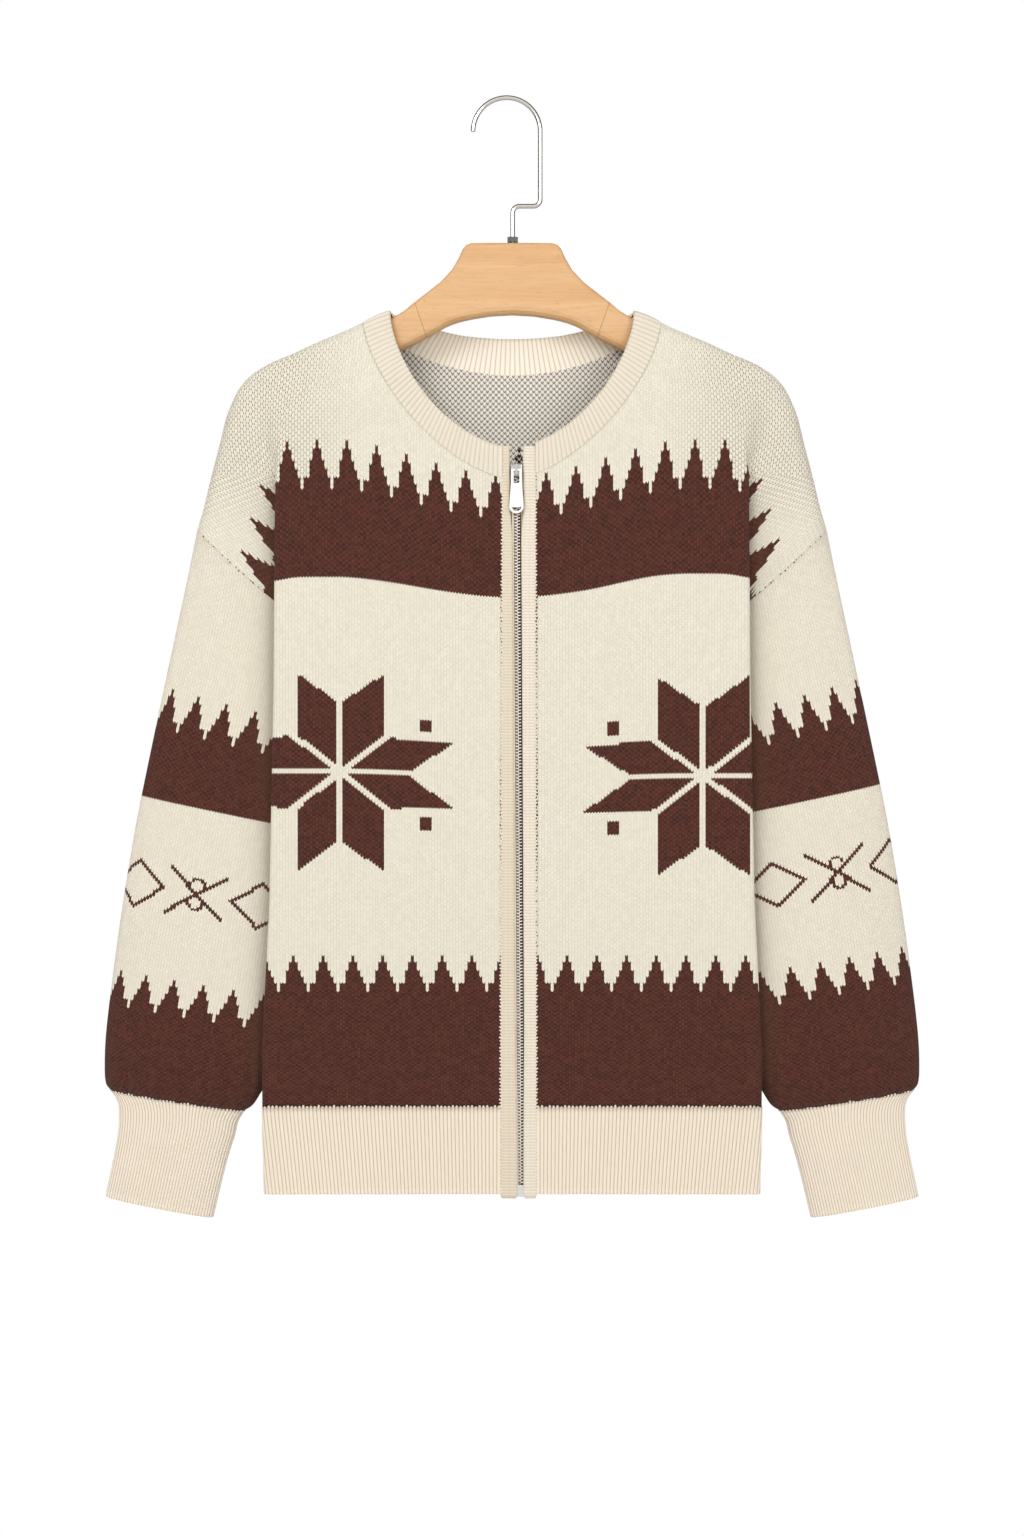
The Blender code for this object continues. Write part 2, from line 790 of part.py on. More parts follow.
def band_row(across, gap):
    """One line round the neckband, from the seam (0) to the free edge (1)."""
    halves = []
    for side, sign in (("right", -1.0), ("left", 1.0)):
        edge_x = NECK_EDGE[side]
        points = []
        for share in neck_shares(side):
            seam = neck_point(side, share, edge_x)
            free = front_neck(share, edge_x, COLLAR_HALF_WIDTH, COLLAR_RIDGE,
                              COLLAR_FRONT_DROP, COLLAR_FRONT_POWER)
            points.append(band_point(seam, free, across, gap, sign, -1.0))
        halves.append(points)
    row = halves[0]
    shares = neck_shares("back")
    for share, sign in [(share, -1.0) for share in reversed(shares[:-1])] + [
            (share, 1.0) for share in shares[1:-1]]:
        seam = back_neck(share, NECK_HALF_WIDTH, NECK_RIDGE, NECK_BACK_DROP)
        free = back_neck(share, COLLAR_HALF_WIDTH, COLLAR_RIDGE, COLLAR_BACK_DROP)
        row.append(band_point(seam, free, across, gap, sign, 1.0))
    row += reversed(halves[1])
    return [(index / (len(row) - 1), point, normal) for index, (point, normal) in enumerate(row)]


def band_point(seam, free, across, gap, sign_x, sign_y):
    length = math.dist(seam, free)
    part = mix(gap / length, 1.0, across)
    x = mix(seam[0], free[0], part)
    z = mix(seam[1], free[1], part)
    if abs(seam[1] - NECK_RIDGE) < 0.01 and seam[0] == NECK_HALF_WIDTH:
        z = ridge_height(x)
        normal = ridge_normal(x, z)
        return ((sign_x * x, 0.0, z), (sign_x * normal[0], 0.0, normal[2]))
    depth = max(cloth_depth(x, z), 0.0)
    normal = cloth_normal(x, z)
    return (
        (sign_x * x, sign_y * depth, z),
        (sign_x * normal[0], -sign_y * normal[1], normal[2]),
    )


def ridge_height(x):
    for index in range(len(RIDGE["x"]) - 1):
        if RIDGE["x"][index] <= x <= RIDGE["x"][index + 1]:
            span = RIDGE["x"][index + 1] - RIDGE["x"][index]
            return mix(RIDGE["z"][index], RIDGE["z"][index + 1], (x - RIDGE["x"][index]) / span)
    return RIDGE["z"][0]


def make_neckband(material):
    rows = [band_row(across, SEAM_GAP) for across in (0.0, 0.5, 1.0)]
    outer = [ribbed(row, *NECK_RIB) for row in rows]
    wall_object("neckband", outer, [inside(row) for row in rows], material)


# Sleeves and cuffs

def ring_points(table, index):
    """Front half of one ring of a sleeve, from its outer edge to its inner one."""
    outer_x = table["outer_x"][index]
    outer_z = table["outer_z"][index]
    span_x = table["inner_x"][index] - outer_x
    span_z = table["inner_z"][index] - outer_z
    length = math.hypot(span_x, span_z)
    down = (-span_z / length, span_x / length)
    ring = []
    for share in RING_STEPS:
        sag = table["sag"][index] * math.sin(math.pi * share)
        x = outer_x + span_x * share + sag * down[0]
        z = outer_z + span_z * share + sag * down[1]
        bulge = abs(2.0 * share - 1.0) ** TUBE_SQUARENESS
        y = table["half_depth"][index] * max(0.0, 1.0 - bulge) ** (1.0 / TUBE_SQUARENESS)
        ring.append((x, -y, z))
    return ring


def armhole_ring():
    """The sleeve's first ring, which follows the panels' armhole edge."""
    span_x = UNDERARM[0] - SHOULDER_POINT[0]
    span_z = UNDERARM[1] - SHOULDER_POINT[1]
    length = math.hypot(span_x, span_z)
    ring = []
    for share in RING_STEPS:
        x, z = armhole_point(share)
        y = arm_depth(x, z) * underarm_ease(z) if 0.0 < share < 1.0 else 0.0
        ring.append((x - SEAM_GAP * span_z / length, -y, z + SEAM_GAP * span_x / length))
    return ring


def full_ring(half):
    """Close a ring from its front half."""
    back = [(x, -y, z) for x, y, z in reversed(half[1:-1])]
    return half + back


def ring_normals(ring, along):
    """Outward normals round a ring; along runs down the sleeve."""
    centre = [sum(point[axis] for point in ring) / len(ring) for axis in range(3)]
    normals = []
    for index, point in enumerate(ring):
        before = ring[index - 1]
        after = ring[(index + 1) % len(ring)]
        run = [after[axis] - before[axis] for axis in range(3)]
        normal = [
            run[1] * along[2] - run[2] * along[1],
            run[2] * along[0] - run[0] * along[2],
            run[0] * along[1] - run[1] * along[0],
        ]
        length = math.sqrt(sum(value * value for value in normal))
        out = sum(normal[axis] * (point[axis] - centre[axis]) for axis in range(3))
        sign = 1.0 if out >= 0.0 else -1.0
        normals.append(tuple(sign * value / length for value in normal))
    return normals


def ring_row(ring, along):
    normals = ring_normals(ring, along)
    return [
        (index / len(ring), point, normal)
        for index, (point, normal) in enumerate(zip(ring, normals))
    ]


def tube_rows(table, first_ring=None):
    halves = [ring_points(table, index) for index in range(len(table["outer_x"]))]
    if first_ring:
        halves[0] = first_ring
    rows = []
    for index, half in enumerate(halves):
        ring = full_ring(half)
        run_x = table["inner_x"][index] - table["outer_x"][index]
        run_z = table["inner_z"][index] - table["outer_z"][index]
        rows.append(ring_row(ring, (-run_z, 0.0, run_x)))
    return rows


def make_sleeves(material, rib_material):
    sleeve = tube_rows(SLEEVE, armhole_ring())
    cuff = tube_rows(CUFF)
    for side, across in (("left", False), ("right", True)):
        rows = [flip(row, across=across) for row in sleeve]
        wall_object("sleeve_" + side, [outside(row) for row in rows],
                    [inside(row) for row in rows], material, tube=True)
        rows = [flip(row, across=across) for row in cuff]
        ribs = []
        for row in rows:
            closed = row + [(1.0, row[0][1], row[0][2])]
            ribs.append(ribbed(closed, *CUFF_RIB)[:-1])
        wall_object("cuff_" + side, ribs, [inside(row) for row in rows], rib_material, tube=True)


# Zip

def zip_x(z):
    share = (ZIP_TOP[1] - z) / (ZIP_TOP[1] - ZIP_FOOT[1])
    return mix(ZIP_TOP[0], ZIP_FOOT[0], share)


def front_face(z):
    """Front surface of the panels beside the zip."""
    return -(read(BODY, "depth", "z", z) - read(BODY, "dip", "z", z))


def strip_rings(heights, limits, section):
    """Rings of an upright strip; limits gives its two edges at a height."""
    front, back, rounding = section
    rings = []
    for z in heights:
        low_x, high_x = limits(z)
        face = front_face(z)
        front_y = face + front
        back_y = face + back
        rings.append([
            (low_x + rounding, front_y, z),
            (high_x - rounding, front_y, z),
            (high_x, front_y + rounding, z),
            (high_x, back_y - rounding, z),
            (high_x - rounding, back_y, z),
            (low_x + rounding, back_y, z),
            (low_x, back_y - rounding, z),
            (low_x, front_y + rounding, z),
        ])
    return rings


def spread(top, foot, count):
    return [mix(top, foot, step / count) for step in range(count + 1)]


def make_zip(cloth, metal):
    heights = spread(PLACKET_TOP, PARTING_FOOT, 4) + spread(PARTING_FOOT, PLACKET_FOOT, 10)[1:]

    def parting(z):
        close = smooth((PARTING_TOP - z) / (PARTING_TOP - PARTING_FOOT))
        return mix(PARTING_WIDE, PARTING_NARROW, close)

    def right_placket(z):
        return read(FRONT_EDGE, "right", "z", z) + SEAM_GAP, zip_x(z) - parting(z)

    def left_placket(z):
        return zip_x(z) + parting(z), read(FRONT_EDGE, "left", "z", z) - SEAM_GAP

    loft_object("placket_right", strip_rings(heights, right_placket, PLACKET), cloth)
    loft_object("placket_left", strip_rings(heights, left_placket, PLACKET), cloth)
    heights = spread(TAPE_TOP, TAPE_FOOT, 12)

    def right_tape(z):
        return zip_x(z) - TAPE_HALF_WIDTH, zip_x(z) - HALF_GAP

    def left_tape(z):
        return zip_x(z) + HALF_GAP, zip_x(z) + TAPE_HALF_WIDTH

    loft_object("zip_tape_right", strip_rings(heights, right_tape, TAPE), cloth)
    loft_object("zip_tape_left", strip_rings(heights, left_tape, TAPE), cloth)
    heights = spread(CHAIN_TOP, CHAIN_FOOT, 12)

    def chain(z):
        return zip_x(z) - CHAIN_HALF_WIDTH, zip_x(z) + CHAIN_HALF_WIDTH

    loft_object("zip_chain", strip_rings(heights, chain, CHAIN), metal)


# Hanger

def rounded_loop(x, top, under, lean):
    """Rounded upright section of the hanger at x; lean tilts it for the finger joint."""
    half = WOOD_HALF_THICKNESS
    radius = WOOD_ROUNDING
    loop = []
    middle = 0.5 * (top + under)
    for corner_y, corner_z, start in (
        (-1, 1, 180), (1, 1, 90), (1, -1, 0), (-1, -1, -90),
    ):
        centre_y = corner_y * (half - radius)
        centre_z = (top - radius) if corner_z > 0 else (under + radius)
        for step in range(WOOD_CORNER_STEPS + 1):
            angle = math.radians(start - 90.0 * step / WOOD_CORNER_STEPS)
            y = centre_y + radius * math.cos(angle)
            z = centre_z + radius * math.sin(angle)
            loop.append((x + lean * (z - middle), y, z))
    return loop


def arm_top(x):
    """Top of the wooden arm, which the shoulder seam rests on."""
    if x <= ARM_RIDGE_X:
        return read(ARM_TOP_START, "top", "x", x)
    return ridge_height(x) - (WALL + WOOD_CLEARANCE) * RIDGE_SLOPE_ALLOWANCE


def make_hanger(wood):
    loops = []
    xs = [-x for x in reversed(WOOD["x"][1:])] + WOOD["x"]
    for x in xs:
        side = abs(x)
        top = read(WOOD, "top", "x", side)
        under = read(WOOD, "under", "x", side)
        lean = JOINT_LEAN * smooth((side - PLATE_LEAN_START) / (JOINT_X - PLATE_LEAN_START))
        loops.append(rounded_loop(x, top, under, math.copysign(lean, x)))
    loft_object("hanger_plate", loops, wood)
    start = RIDGE["x"].index(98.0)
    end = RIDGE["x"].index(182.4)
    arm_xs = [JOINT_X + SEAM_GAP] + ARM_TOP_START["x"][1:] + RIDGE["x"][start:end + 1] + [ARM_TIP_X]
    for side, sign in (("left", 1.0), ("right", -1.0)):
        loops = []
        for x in arm_xs:
            lean = JOINT_LEAN * (1.0 - smooth((x - JOINT_X) / ARM_LEAN_LENGTH))
            under = read(ARM_UNDER, "under", "x", x)
            loops.append(rounded_loop(sign * x, arm_top(x), under, sign * lean))
        loft_object("hanger_arm_" + side, loops, wood)


def hook_path():
    """The hook from its tip, over the crown and down the cranked shank."""
    points = []
    centre_z = HOOK_WIRE - HOOK_ARC
    for step in range(HOOK_ARC_STEPS + 1):
        angle = math.pi * (1.0 - step / HOOK_ARC_STEPS)
        x = HOOK_CENTRE_X + HOOK_ARC * math.cos(angle)
        z = centre_z + HOOK_ARC * math.sin(angle)
        points.append((x, z))
    side_x = HOOK_CENTRE_X + HOOK_ARC - HOOK_BEND
    for step in range(HOOK_BEND_STEPS + 1):
        angle = 0.5 * math.pi * step / HOOK_BEND_STEPS
        x = side_x + HOOK_BEND * math.cos(angle)
        z = HOOK_CRANK_Z + HOOK_BEND - HOOK_BEND * math.sin(angle)
        points.append((x, z))
    for step in range(HOOK_BEND_STEPS + 1):
        angle = 0.5 * math.pi * (1.0 - step / HOOK_BEND_STEPS)
        x = HOOK_SHANK_X + HOOK_BEND - HOOK_BEND * math.cos(angle)
        z = HOOK_CRANK_Z - HOOK_BEND + HOOK_BEND * math.sin(angle)
        points.append((x, z))
    points.append((HOOK_SHANK_X, WOOD["top"][0] + SEAM_GAP))
    return points


def make_hook(metal):
    curve = bpy.data.curves.new("hook", "CURVE")
    curve.dimensions = "3D"
    curve.bevel_depth = HOOK_WIRE * MM
    curve.bevel_resolution = 2
    curve.resolution_u = 1
    curve.render_resolution_u = 0
    curve.use_fill_caps = True
    spline = curve.splines.new("POLY")
    path = hook_path()
    spline.points.add(len(path) - 1)
    for point, (x, z) in zip(spline.points, path):
        point.co = (x * MM, 0.0, z * MM, 1.0)
    spline.use_smooth = True
    hook = bpy.data.objects.new("hook", curve)
    bpy.context.scene.collection.objects.link(hook)
    place(hook, metal)


def primitive(name, kind, location, **sizes):
    """Add a primitive in millimetres and name it."""
    add = getattr(bpy.ops.mesh, "primitive_" + kind + "_add")
    add(location=[value * MM for value in location], **sizes)
    obj = bpy.context.object
    obj.name = name
    obj.data.name = name
    return obj


def box(name, low, high, bevel=0.0):
    """A box between two corners in millimetres, with rounded edges."""
    centre = [0.5 * (a + b) for a, b in zip(low, high)]
    obj = primitive(name, "cube", centre, size=1.0)
    obj.scale = [(b - a) * MM for a, b in zip(low, high)]
    bpy.ops.object.transform_apply(location=False, rotation=False, scale=True)
    if bevel:
        rounding = obj.modifiers.new("rounding", "BEVEL")
        rounding.width = bevel * MM
        rounding.segments = 2
    return obj


def guide(obj):
    """Keep a cutter or joined piece out of the finished garment."""
    for collection in list(obj.users_collection):
        collection.objects.unlink(obj)
    CUTTERS.objects.link(obj)
    obj.hide_render = True
    obj.display_type = "WIRE"
    return obj


def combine(target, other, operation):
    step = target.modifiers.new(operation.lower(), "BOOLEAN")
    step.operation = operation
    step.solver = "EXACT"
    step.object = guide(other)


def make_nut(metal):
    middle = (HOOK_SHANK_X, 0.0, WOOD["top"][0] + SEAM_GAP + 0.5 * NUT_HEIGHT)
    nut = primitive("hook_nut", "cylinder", middle,
                    vertices=6, radius=NUT_RADIUS * MM, depth=NUT_HEIGHT * MM)
    hole = primitive("hook_nut_hole", "cylinder", middle,
                     vertices=24, radius=(HOOK_WIRE + SEAM_GAP) * MM, depth=2 * NUT_HEIGHT * MM)
    combine(nut, hole, "DIFFERENCE")
    place(nut, metal)


def make_slider(metal):
    """Slider body, the bail on its face and the pull tab that hangs from it."""
    x = zip_x(PULL_AXIS_Z)
    face = front_face(PULL_AXIS_Z)
    body = box("slider", (x - SLIDER_HALF_WIDTH, face - 1.7, -282.1),
               (x + SLIDER_HALF_WIDTH, face + 2.4, -272.6), 0.9)
    bail = box("slider_bail", (x - 0.9, face - 5.2, -281.4), (x + 0.9, face - 1.5, -273.3))
    combine(body, bail, "UNION")
    eye = box("slider_eye", (x - 3.0, face - 4.4, -279.8), (x + 3.0, face - 2.1, -274.8))
    combine(body, eye, "DIFFERENCE")
    place(body, metal)
    make_pull_tab(metal, x, face - TAB_OUT)


def make_zip_box(metal):
    x = zip_x(BOX_MIDDLE)
    face = front_face(ZIP_FOOT[1])
    end = box("zip_box", (x - BOX_HALF_WIDTH, face + 0.1, -808.0),
              (x + BOX_HALF_WIDTH, face + 2.3, -799.4), 0.5)
    place(end, metal)


def make_pull_tab(metal, x, y):
    """Flat tab with a slot round the bail and a ring end, its origin on the hinge axis."""
    curve = bpy.data.curves.new("pull_tab", "CURVE")
    curve.dimensions = "2D"
    curve.fill_mode = "BOTH"
    curve.extrude = TAB_HALF_THICKNESS * MM
    curve.resolution_u = 1
    edge = list(zip(TAB_EDGE["across"], TAB_EDGE["up"]))
    half_width, middle, drop = TAB_RING
    outline = list(edge)
    for step in range(9):
        angle = math.pi * step / 8
        outline.append((half_width * math.cos(angle), middle - drop * math.sin(angle)))
    outline += [(-across, up) for across, up in reversed(edge)]
    slot = list(zip(TAB_SLOT["across"], TAB_SLOT["up"]))
    half_width, middle, drop, top_drop = TAB_RING_GAP
    gap = []
    for step in range(9):
        angle = math.pi * step / 8
        gap.append((half_width * math.cos(angle), middle - drop * math.sin(angle)))
    for step in range(1, 6):
        angle = math.pi * step / 6
        gap.append((-half_width * math.cos(angle), middle - top_drop * math.sin(angle)))
    for loop in (outline, slot, gap):
        spline = curve.splines.new("POLY")
        spline.points.add(len(loop) - 1)
        for point, (across, up) in zip(spline.points, loop):
            point.co = (across * MM, up * MM, 0.0, 1.0)
        spline.use_cyclic_u = True
    flat = bpy.data.objects.new("pull_tab_outline", curve)
    bpy.context.scene.collection.objects.link(flat)
    flat.rotation_euler = (math.radians(90), 0.0, 0.0)
    flat.location = (x * MM, y * MM, PULL_AXIS_Z * MM)
    bpy.context.view_layer.update()
    mesh = bpy.data.meshes.new_from_object(flat.evaluated_get(bpy.context.evaluated_depsgraph_get()))
    work = bmesh.new()
    work.from_mesh(mesh)
    bmesh.ops.remove_doubles(work, verts=work.verts, dist=1e-6)
    work.to_mesh(mesh)
    work.free()
    tab = bpy.data.objects.new("pull_tab", mesh)
    tab.matrix_world = flat.matrix_world
    bpy.context.scene.collection.objects.link(tab)
    bpy.data.objects.remove(flat)
    place(tab, metal)


def new_collection(name):
    collection = bpy.data.collections.new(name)
    bpy.context.scene.collection.children.link(collection)
    return collection


for old in list(bpy.data.objects):
    bpy.data.objects.remove(old)
PARTS = new_collection("zip_cardigan")
CUTTERS = new_collection("cutters")
jacquard = make_material("jacquard_knit", (0.83, 0.79, 0.66), 0.9)
rib_knit = make_material("rib_knit", (0.82, 0.75, 0.63), 0.9)
beech = make_material("beech", (0.84, 0.52, 0.28), 0.45)
steel = make_material("steel", (0.75, 0.74, 0.70), 0.25, 1.0)
make_panels(jacquard)
make_hem(rib_knit)
make_neckband(rib_knit)
make_sleeves(jacquard, rib_knit)
make_zip(rib_knit, steel)
make_hanger(beech)
make_hook(steel)
make_nut(steel)
make_slider(steel)
make_zip_box(steel)
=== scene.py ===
"""Looks of the zip cardigan on its wooden hanger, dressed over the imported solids.

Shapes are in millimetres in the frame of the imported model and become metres
where a mesh is made.  +X is the wearer's left, -Y the front, +Z up.  The cloth
pieces repeat the cut of their solids with finer rows, soft folds and ribs.
"""
import math

import bmesh
import bpy
import numpy as np
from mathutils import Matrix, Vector


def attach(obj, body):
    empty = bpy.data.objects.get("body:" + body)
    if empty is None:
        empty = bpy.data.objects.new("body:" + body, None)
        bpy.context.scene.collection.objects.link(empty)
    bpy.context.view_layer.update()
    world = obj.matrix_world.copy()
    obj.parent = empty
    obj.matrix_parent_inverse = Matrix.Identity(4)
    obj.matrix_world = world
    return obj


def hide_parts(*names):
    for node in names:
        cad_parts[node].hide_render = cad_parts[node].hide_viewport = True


MM = 0.001
BODY_NAME = "cardigan"

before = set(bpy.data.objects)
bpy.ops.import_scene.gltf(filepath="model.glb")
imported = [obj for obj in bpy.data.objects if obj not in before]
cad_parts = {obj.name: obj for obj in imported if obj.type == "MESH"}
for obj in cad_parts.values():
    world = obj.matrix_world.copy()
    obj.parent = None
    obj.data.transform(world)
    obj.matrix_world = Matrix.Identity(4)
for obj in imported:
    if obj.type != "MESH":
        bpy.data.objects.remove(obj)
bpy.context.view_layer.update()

# Cloth
WALL = 2.3
SEAM_GAP = 0.3
HALF_GAP = 0.5 * SEAM_GAP
FOLD_RADIUS = 3.4
CREASE_RADIUS = 1.2
RIDGE_RADIUS = 11.5
RIDGE_BLEND_TOP = -200.0
RIDGE_BLEND_HEIGHT = 60.0
ARM_DEPTH = 14.3
EASE_START = 8.0
EASE_LENGTH = 45.0
DIP_HALF_WIDTH = 173.0
DIP_EASE = 60.0
STEP_WIDE = 30.0
STEP_NARROW = 7.0
STEP_TOP = -225.0
STEP_HEIGHT = 55.0
UNDERARM_ROUNDING = 8.0
SIDE_REACH_TOP = 8.0
SIDE_REACH_LOW = 12.0
CREASE_REACH = 5.0
FOLD_TOP = -280.0
FOLD_FULL = -296.0
FOLD_START_TURN = math.radians(75)
SHOULDER_POINT = (232.7, -318.5)
UNDERARM = (60.0, -437.0)
ARMHOLE_SAG = 11.8
GUSSET_SETTLE = 20.0
RIB_SEAM = -742.0
HEM_EDGE = -806.0
YOKE_DIP = 23.0
YOKE_DIP_WIDTH = 150.0
YOKE_FADE = 110.0
NECK_HALF_WIDTH = 109.0
NECK_RIDGE = -164.5
NECK_FRONT_DROP = 118.9
NECK_FRONT_POWER = 1.57
NECK_BACK_DROP = 35.6
COLLAR_HALF_WIDTH = 88.0
COLLAR_RIDGE = -156.3
COLLAR_FRONT_DROP = 102.0
COLLAR_FRONT_POWER = 1.7
COLLAR_BACK_DROP = 14.6
NECK_EDGE = {"left": 17.1, "right": 6.9, "back": 0.0}

# Zip
ZIP_TOP = (3.3, -284.0)
ZIP_FOOT = (6.3, -806.0)
PLACKET_TOP = -259.5
PLACKET_LAP = 0.4
PLACKET_FOOT = -809.0
PARTING_TOP = -300.0
PARTING_FOOT = -330.0
PARTING_WIDE = 4.8
PARTING_NARROW = 3.2
PARTING_FOOT_CLOSE = 1.1

# Studio, in metres
WORLD_LOW = 0.26
WORLD_HIGH = 0.6
AIM = (0.0, 0.0, -0.5)
KEY_LIGHT = {"location": (-1.3, -2.2, 0.9), "size": 1.3, "power": 34.5}
FILL_LIGHT = {"location": (1.5, -2.2, 0.3), "size": 1.5, "power": 21.0}
FLOOR_HALF = 8.0
FLOOR_HEIGHT = -1.35
CAMERA_PLACE = (0.0, -1.45, -0.4946)
CAMERA_LENS = 45.9
CAMERA_SENSOR = 36.0
WHITE = (1.0, 1.0, 1.0, 1.0)

# Knit: one stitch is this wide and high
STITCH_WIDE = 2.17
ROW_DATUM = -300.0
ROW_RATE = 0.4854
ROW_GAIN = 0.00047
LEG_RISE = 0.75
STITCH_MIDDLE = 0.9


def columns(names, *rows):
    """Turn a short table into one list for each named column."""
    return dict(zip(names.split(), (list(column) for column in zip(*rows))))


RIDGE = columns(
    "x z",
    (84.0, -156.2),
    (90.0, -156.4),
    (98.0, -159.4),
    (109.0, -164.5),
    (121.7, -170.5),
    (143.2, -179.4),
    (162.4, -188.3),
    (182.4, -197.1),
    (195.0, -206.0),
    (202.4, -214.9),
    (206.8, -223.8),
    (210.5, -232.7),
    (215.0, -250.4),
    (222.6, -280.0),
    (229.0, -306.0),
    (232.7, -318.5),
    (238.7, -348.0),
    (252.0, -410.0),
    (265.3, -472.4),
)
BODY = columns(
    "z fold depth dip seam",
    (-280.0, 173.0, 23.5, 2.0, 60.0),
    (-437.0, 174.2, 23.5, 2.0, 60.0),
    (-592.0, 177.3, 22.8, 1.6, 64.0),
    (-703.0, 182.9, 21.8, 1.2, 74.0),
    (-748.0, 182.6, 21.0, 1.0, 76.0),
    (-807.0, 181.2, 20.0, 1.0, 84.0),
)
FRONT_EDGE = columns(
    "z right left",
    (-284.0, 6.9, 17.1),
    (-806.0, 8.4, 17.8),
)
SLEEVE = columns(
    "outer_x outer_z inner_x inner_z half_depth sag",
    (232.7, -318.5, 60.0, -437.0, 14.3, 11.8),
    (240.0, -354.0, 70.5, -462.0, 13.6, 9.0),
    (252.0, -410.0, 86.0, -502.0, 13.0, 6.0),
    (265.3, -472.4, 104.0, -546.0, 13.0, 4.0),
    (277.9, -534.6, 122.0, -592.0, 13.0, 2.0),
    (288.2, -596.7, 141.0, -640.0, 13.2, 0.0),
    (295.6, -650.0, 158.0, -684.0, 14.4, 0.0),
    (300.2, -690.0, 174.0, -716.0, 16.6, 0.0),
    (301.2, -714.0, 185.0, -733.5, 17.6, 0.0),
    (300.4, -727.0, 191.5, -743.5, 15.6, 0.0),
    (296.9, -732.6, 198.2, -748.0, 11.8, 0.0),
)
CUFF = columns(
    "outer_x outer_z inner_x inner_z half_depth sag",
    (296.7, -732.9, 198.4, -748.3, 11.6, 0.0),
    (291.6, -740.5, 203.2, -756.0, 10.9, 0.0),
    (290.0, -749.5, 205.6, -765.5, 10.6, 0.0),
    (291.0, -766.0, 210.6, -781.5, 10.4, 0.0),
    (295.4, -788.5, 216.2, -804.0, 10.0, 0.0),
    (300.6, -811.0, 221.2, -826.6, 9.7, 0.0),
)


# Small tools

def read(table, column, key, value):
    """Read a column of a table at values of its key column, straight between rows."""
    keys = np.array(table[key])
    order = np.argsort(keys)
    return np.interp(value, keys[order], np.array(table[column])[order])


def mix(first, second, share):
    return first + (second - first) * share


def smooth(value):
    value = np.clip(value, 0.0, 1.0)
    return value * value * (3.0 - 2.0 * value)


def nose(distance, radius):
    share = 1.0 - np.clip(distance, 0.0, radius) / radius
    return np.sqrt(np.maximum(0.0, 1.0 - share * share))


def run_along(x, y):
    """Length run from the start of a line to each of its points."""
    return np.concatenate([[0.0], np.cumsum(np.hypot(np.diff(x), np.diff(y)))])


def curve_at(values, slopes, index, part, span=1.0):
    """Smooth curve between a point and the next, leaving and reaching them with their slopes."""
    start = 2 * part ** 3 - 3 * part ** 2 + 1
    leave = part ** 3 - 2 * part ** 2 + part
    reach = part ** 3 - part ** 2
    return (start * values[index] + leave * span * slopes[index] + (1 - start) * values[index + 1]
            + reach * span * slopes[index + 1])


def smooth_curve(xs, ys, count):
    """Pass a smooth curve through the points of a table."""
    xs = np.array(xs, float)
    ys = np.array(ys, float)
    along = run_along(xs, ys)
    at = np.linspace(0.0, along[-1], count)
    index = np.clip(np.searchsorted(along, at) - 1, 0, len(along) - 2)
    span = along[index + 1] - along[index]
    part = (at - along[index]) / span
    return tuple(curve_at(values, np.gradient(values, along), index, part, span) for values in (xs, ys))


RIDGE_X, RIDGE_Z = smooth_curve(RIDGE["x"], RIDGE["z"], 110)


def edge_distance(x, z):
    """Distance from the ridge of the shoulder and the sleeve, seen from the front."""
    x = np.asarray(x, float)
    z = np.asarray(z, float)
    start_x = RIDGE_X[:-1]
    start_z = RIDGE_Z[:-1]
    span_x = np.diff(RIDGE_X)
    span_z = np.diff(RIDGE_Z)
    off_x = x[..., None] - start_x
    off_z = z[..., None] - start_z
    share = (off_x * span_x + off_z * span_z) / (span_x ** 2 + span_z ** 2)
    share = np.clip(share, 0.0, 1.0)
    return np.hypot(off_x - share * span_x, off_z - share * span_z).min(axis=-1)


def ridge_radius(z):
    return mix(RIDGE_RADIUS, ARM_DEPTH, smooth((RIDGE_BLEND_TOP - z) / RIDGE_BLEND_HEIGHT))


def arm_depth(x, z):
    radius = ridge_radius(z)
    return radius * nose(edge_distance(x, z), radius)


def cloth_depth(x, z):
    distance = edge_distance(x, z)
    radius = ridge_radius(z)
    shallow = radius * nose(distance, radius)
    deep = shallow + (read(BODY, "depth", "z", z) - radius) * smooth((distance - EASE_START) / EASE_LENGTH)
    dip = read(BODY, "dip", "z", z) * (1.0 - (x / DIP_HALF_WIDTH) ** 2)
    deep = deep - dip * smooth(distance / DIP_EASE)
    step_start = read(BODY, "fold", "z", z) - FOLD_RADIUS
    step_width = mix(STEP_WIDE, STEP_NARROW, smooth((STEP_TOP - z) / STEP_HEIGHT))
    return mix(deep, shallow, smooth((x - step_start) / step_width))


def yoke_drop(x):
    return YOKE_DIP * (1.0 - smooth(x / YOKE_DIP_WIDTH))


def front_neck(share, edge_x, half_width, ridge_z, drop, power):
    start = math.asin((edge_x / half_width) ** (power / 2.0)) if edge_x > 0 else 0.0
    angle = mix(start, 0.5 * math.pi, share)
    x = half_width * np.sin(angle) ** (2.0 / power)
    z = ridge_z - drop * np.maximum(0.0, np.cos(angle)) ** (2.0 / power)
    return x, z


def back_neck(share, half_width, ridge_z, drop):
    x = half_width * np.sin(0.5 * math.pi * share)
    return x, ridge_z - drop * (1.0 - (x / half_width) ** 2)


def neck_point(side, share):
    if side == "back":
        return back_neck(share, NECK_HALF_WIDTH, NECK_RIDGE, NECK_BACK_DROP)
    return front_neck(share, NECK_EDGE[side], NECK_HALF_WIDTH, NECK_RIDGE, NECK_FRONT_DROP, NECK_FRONT_POWER)


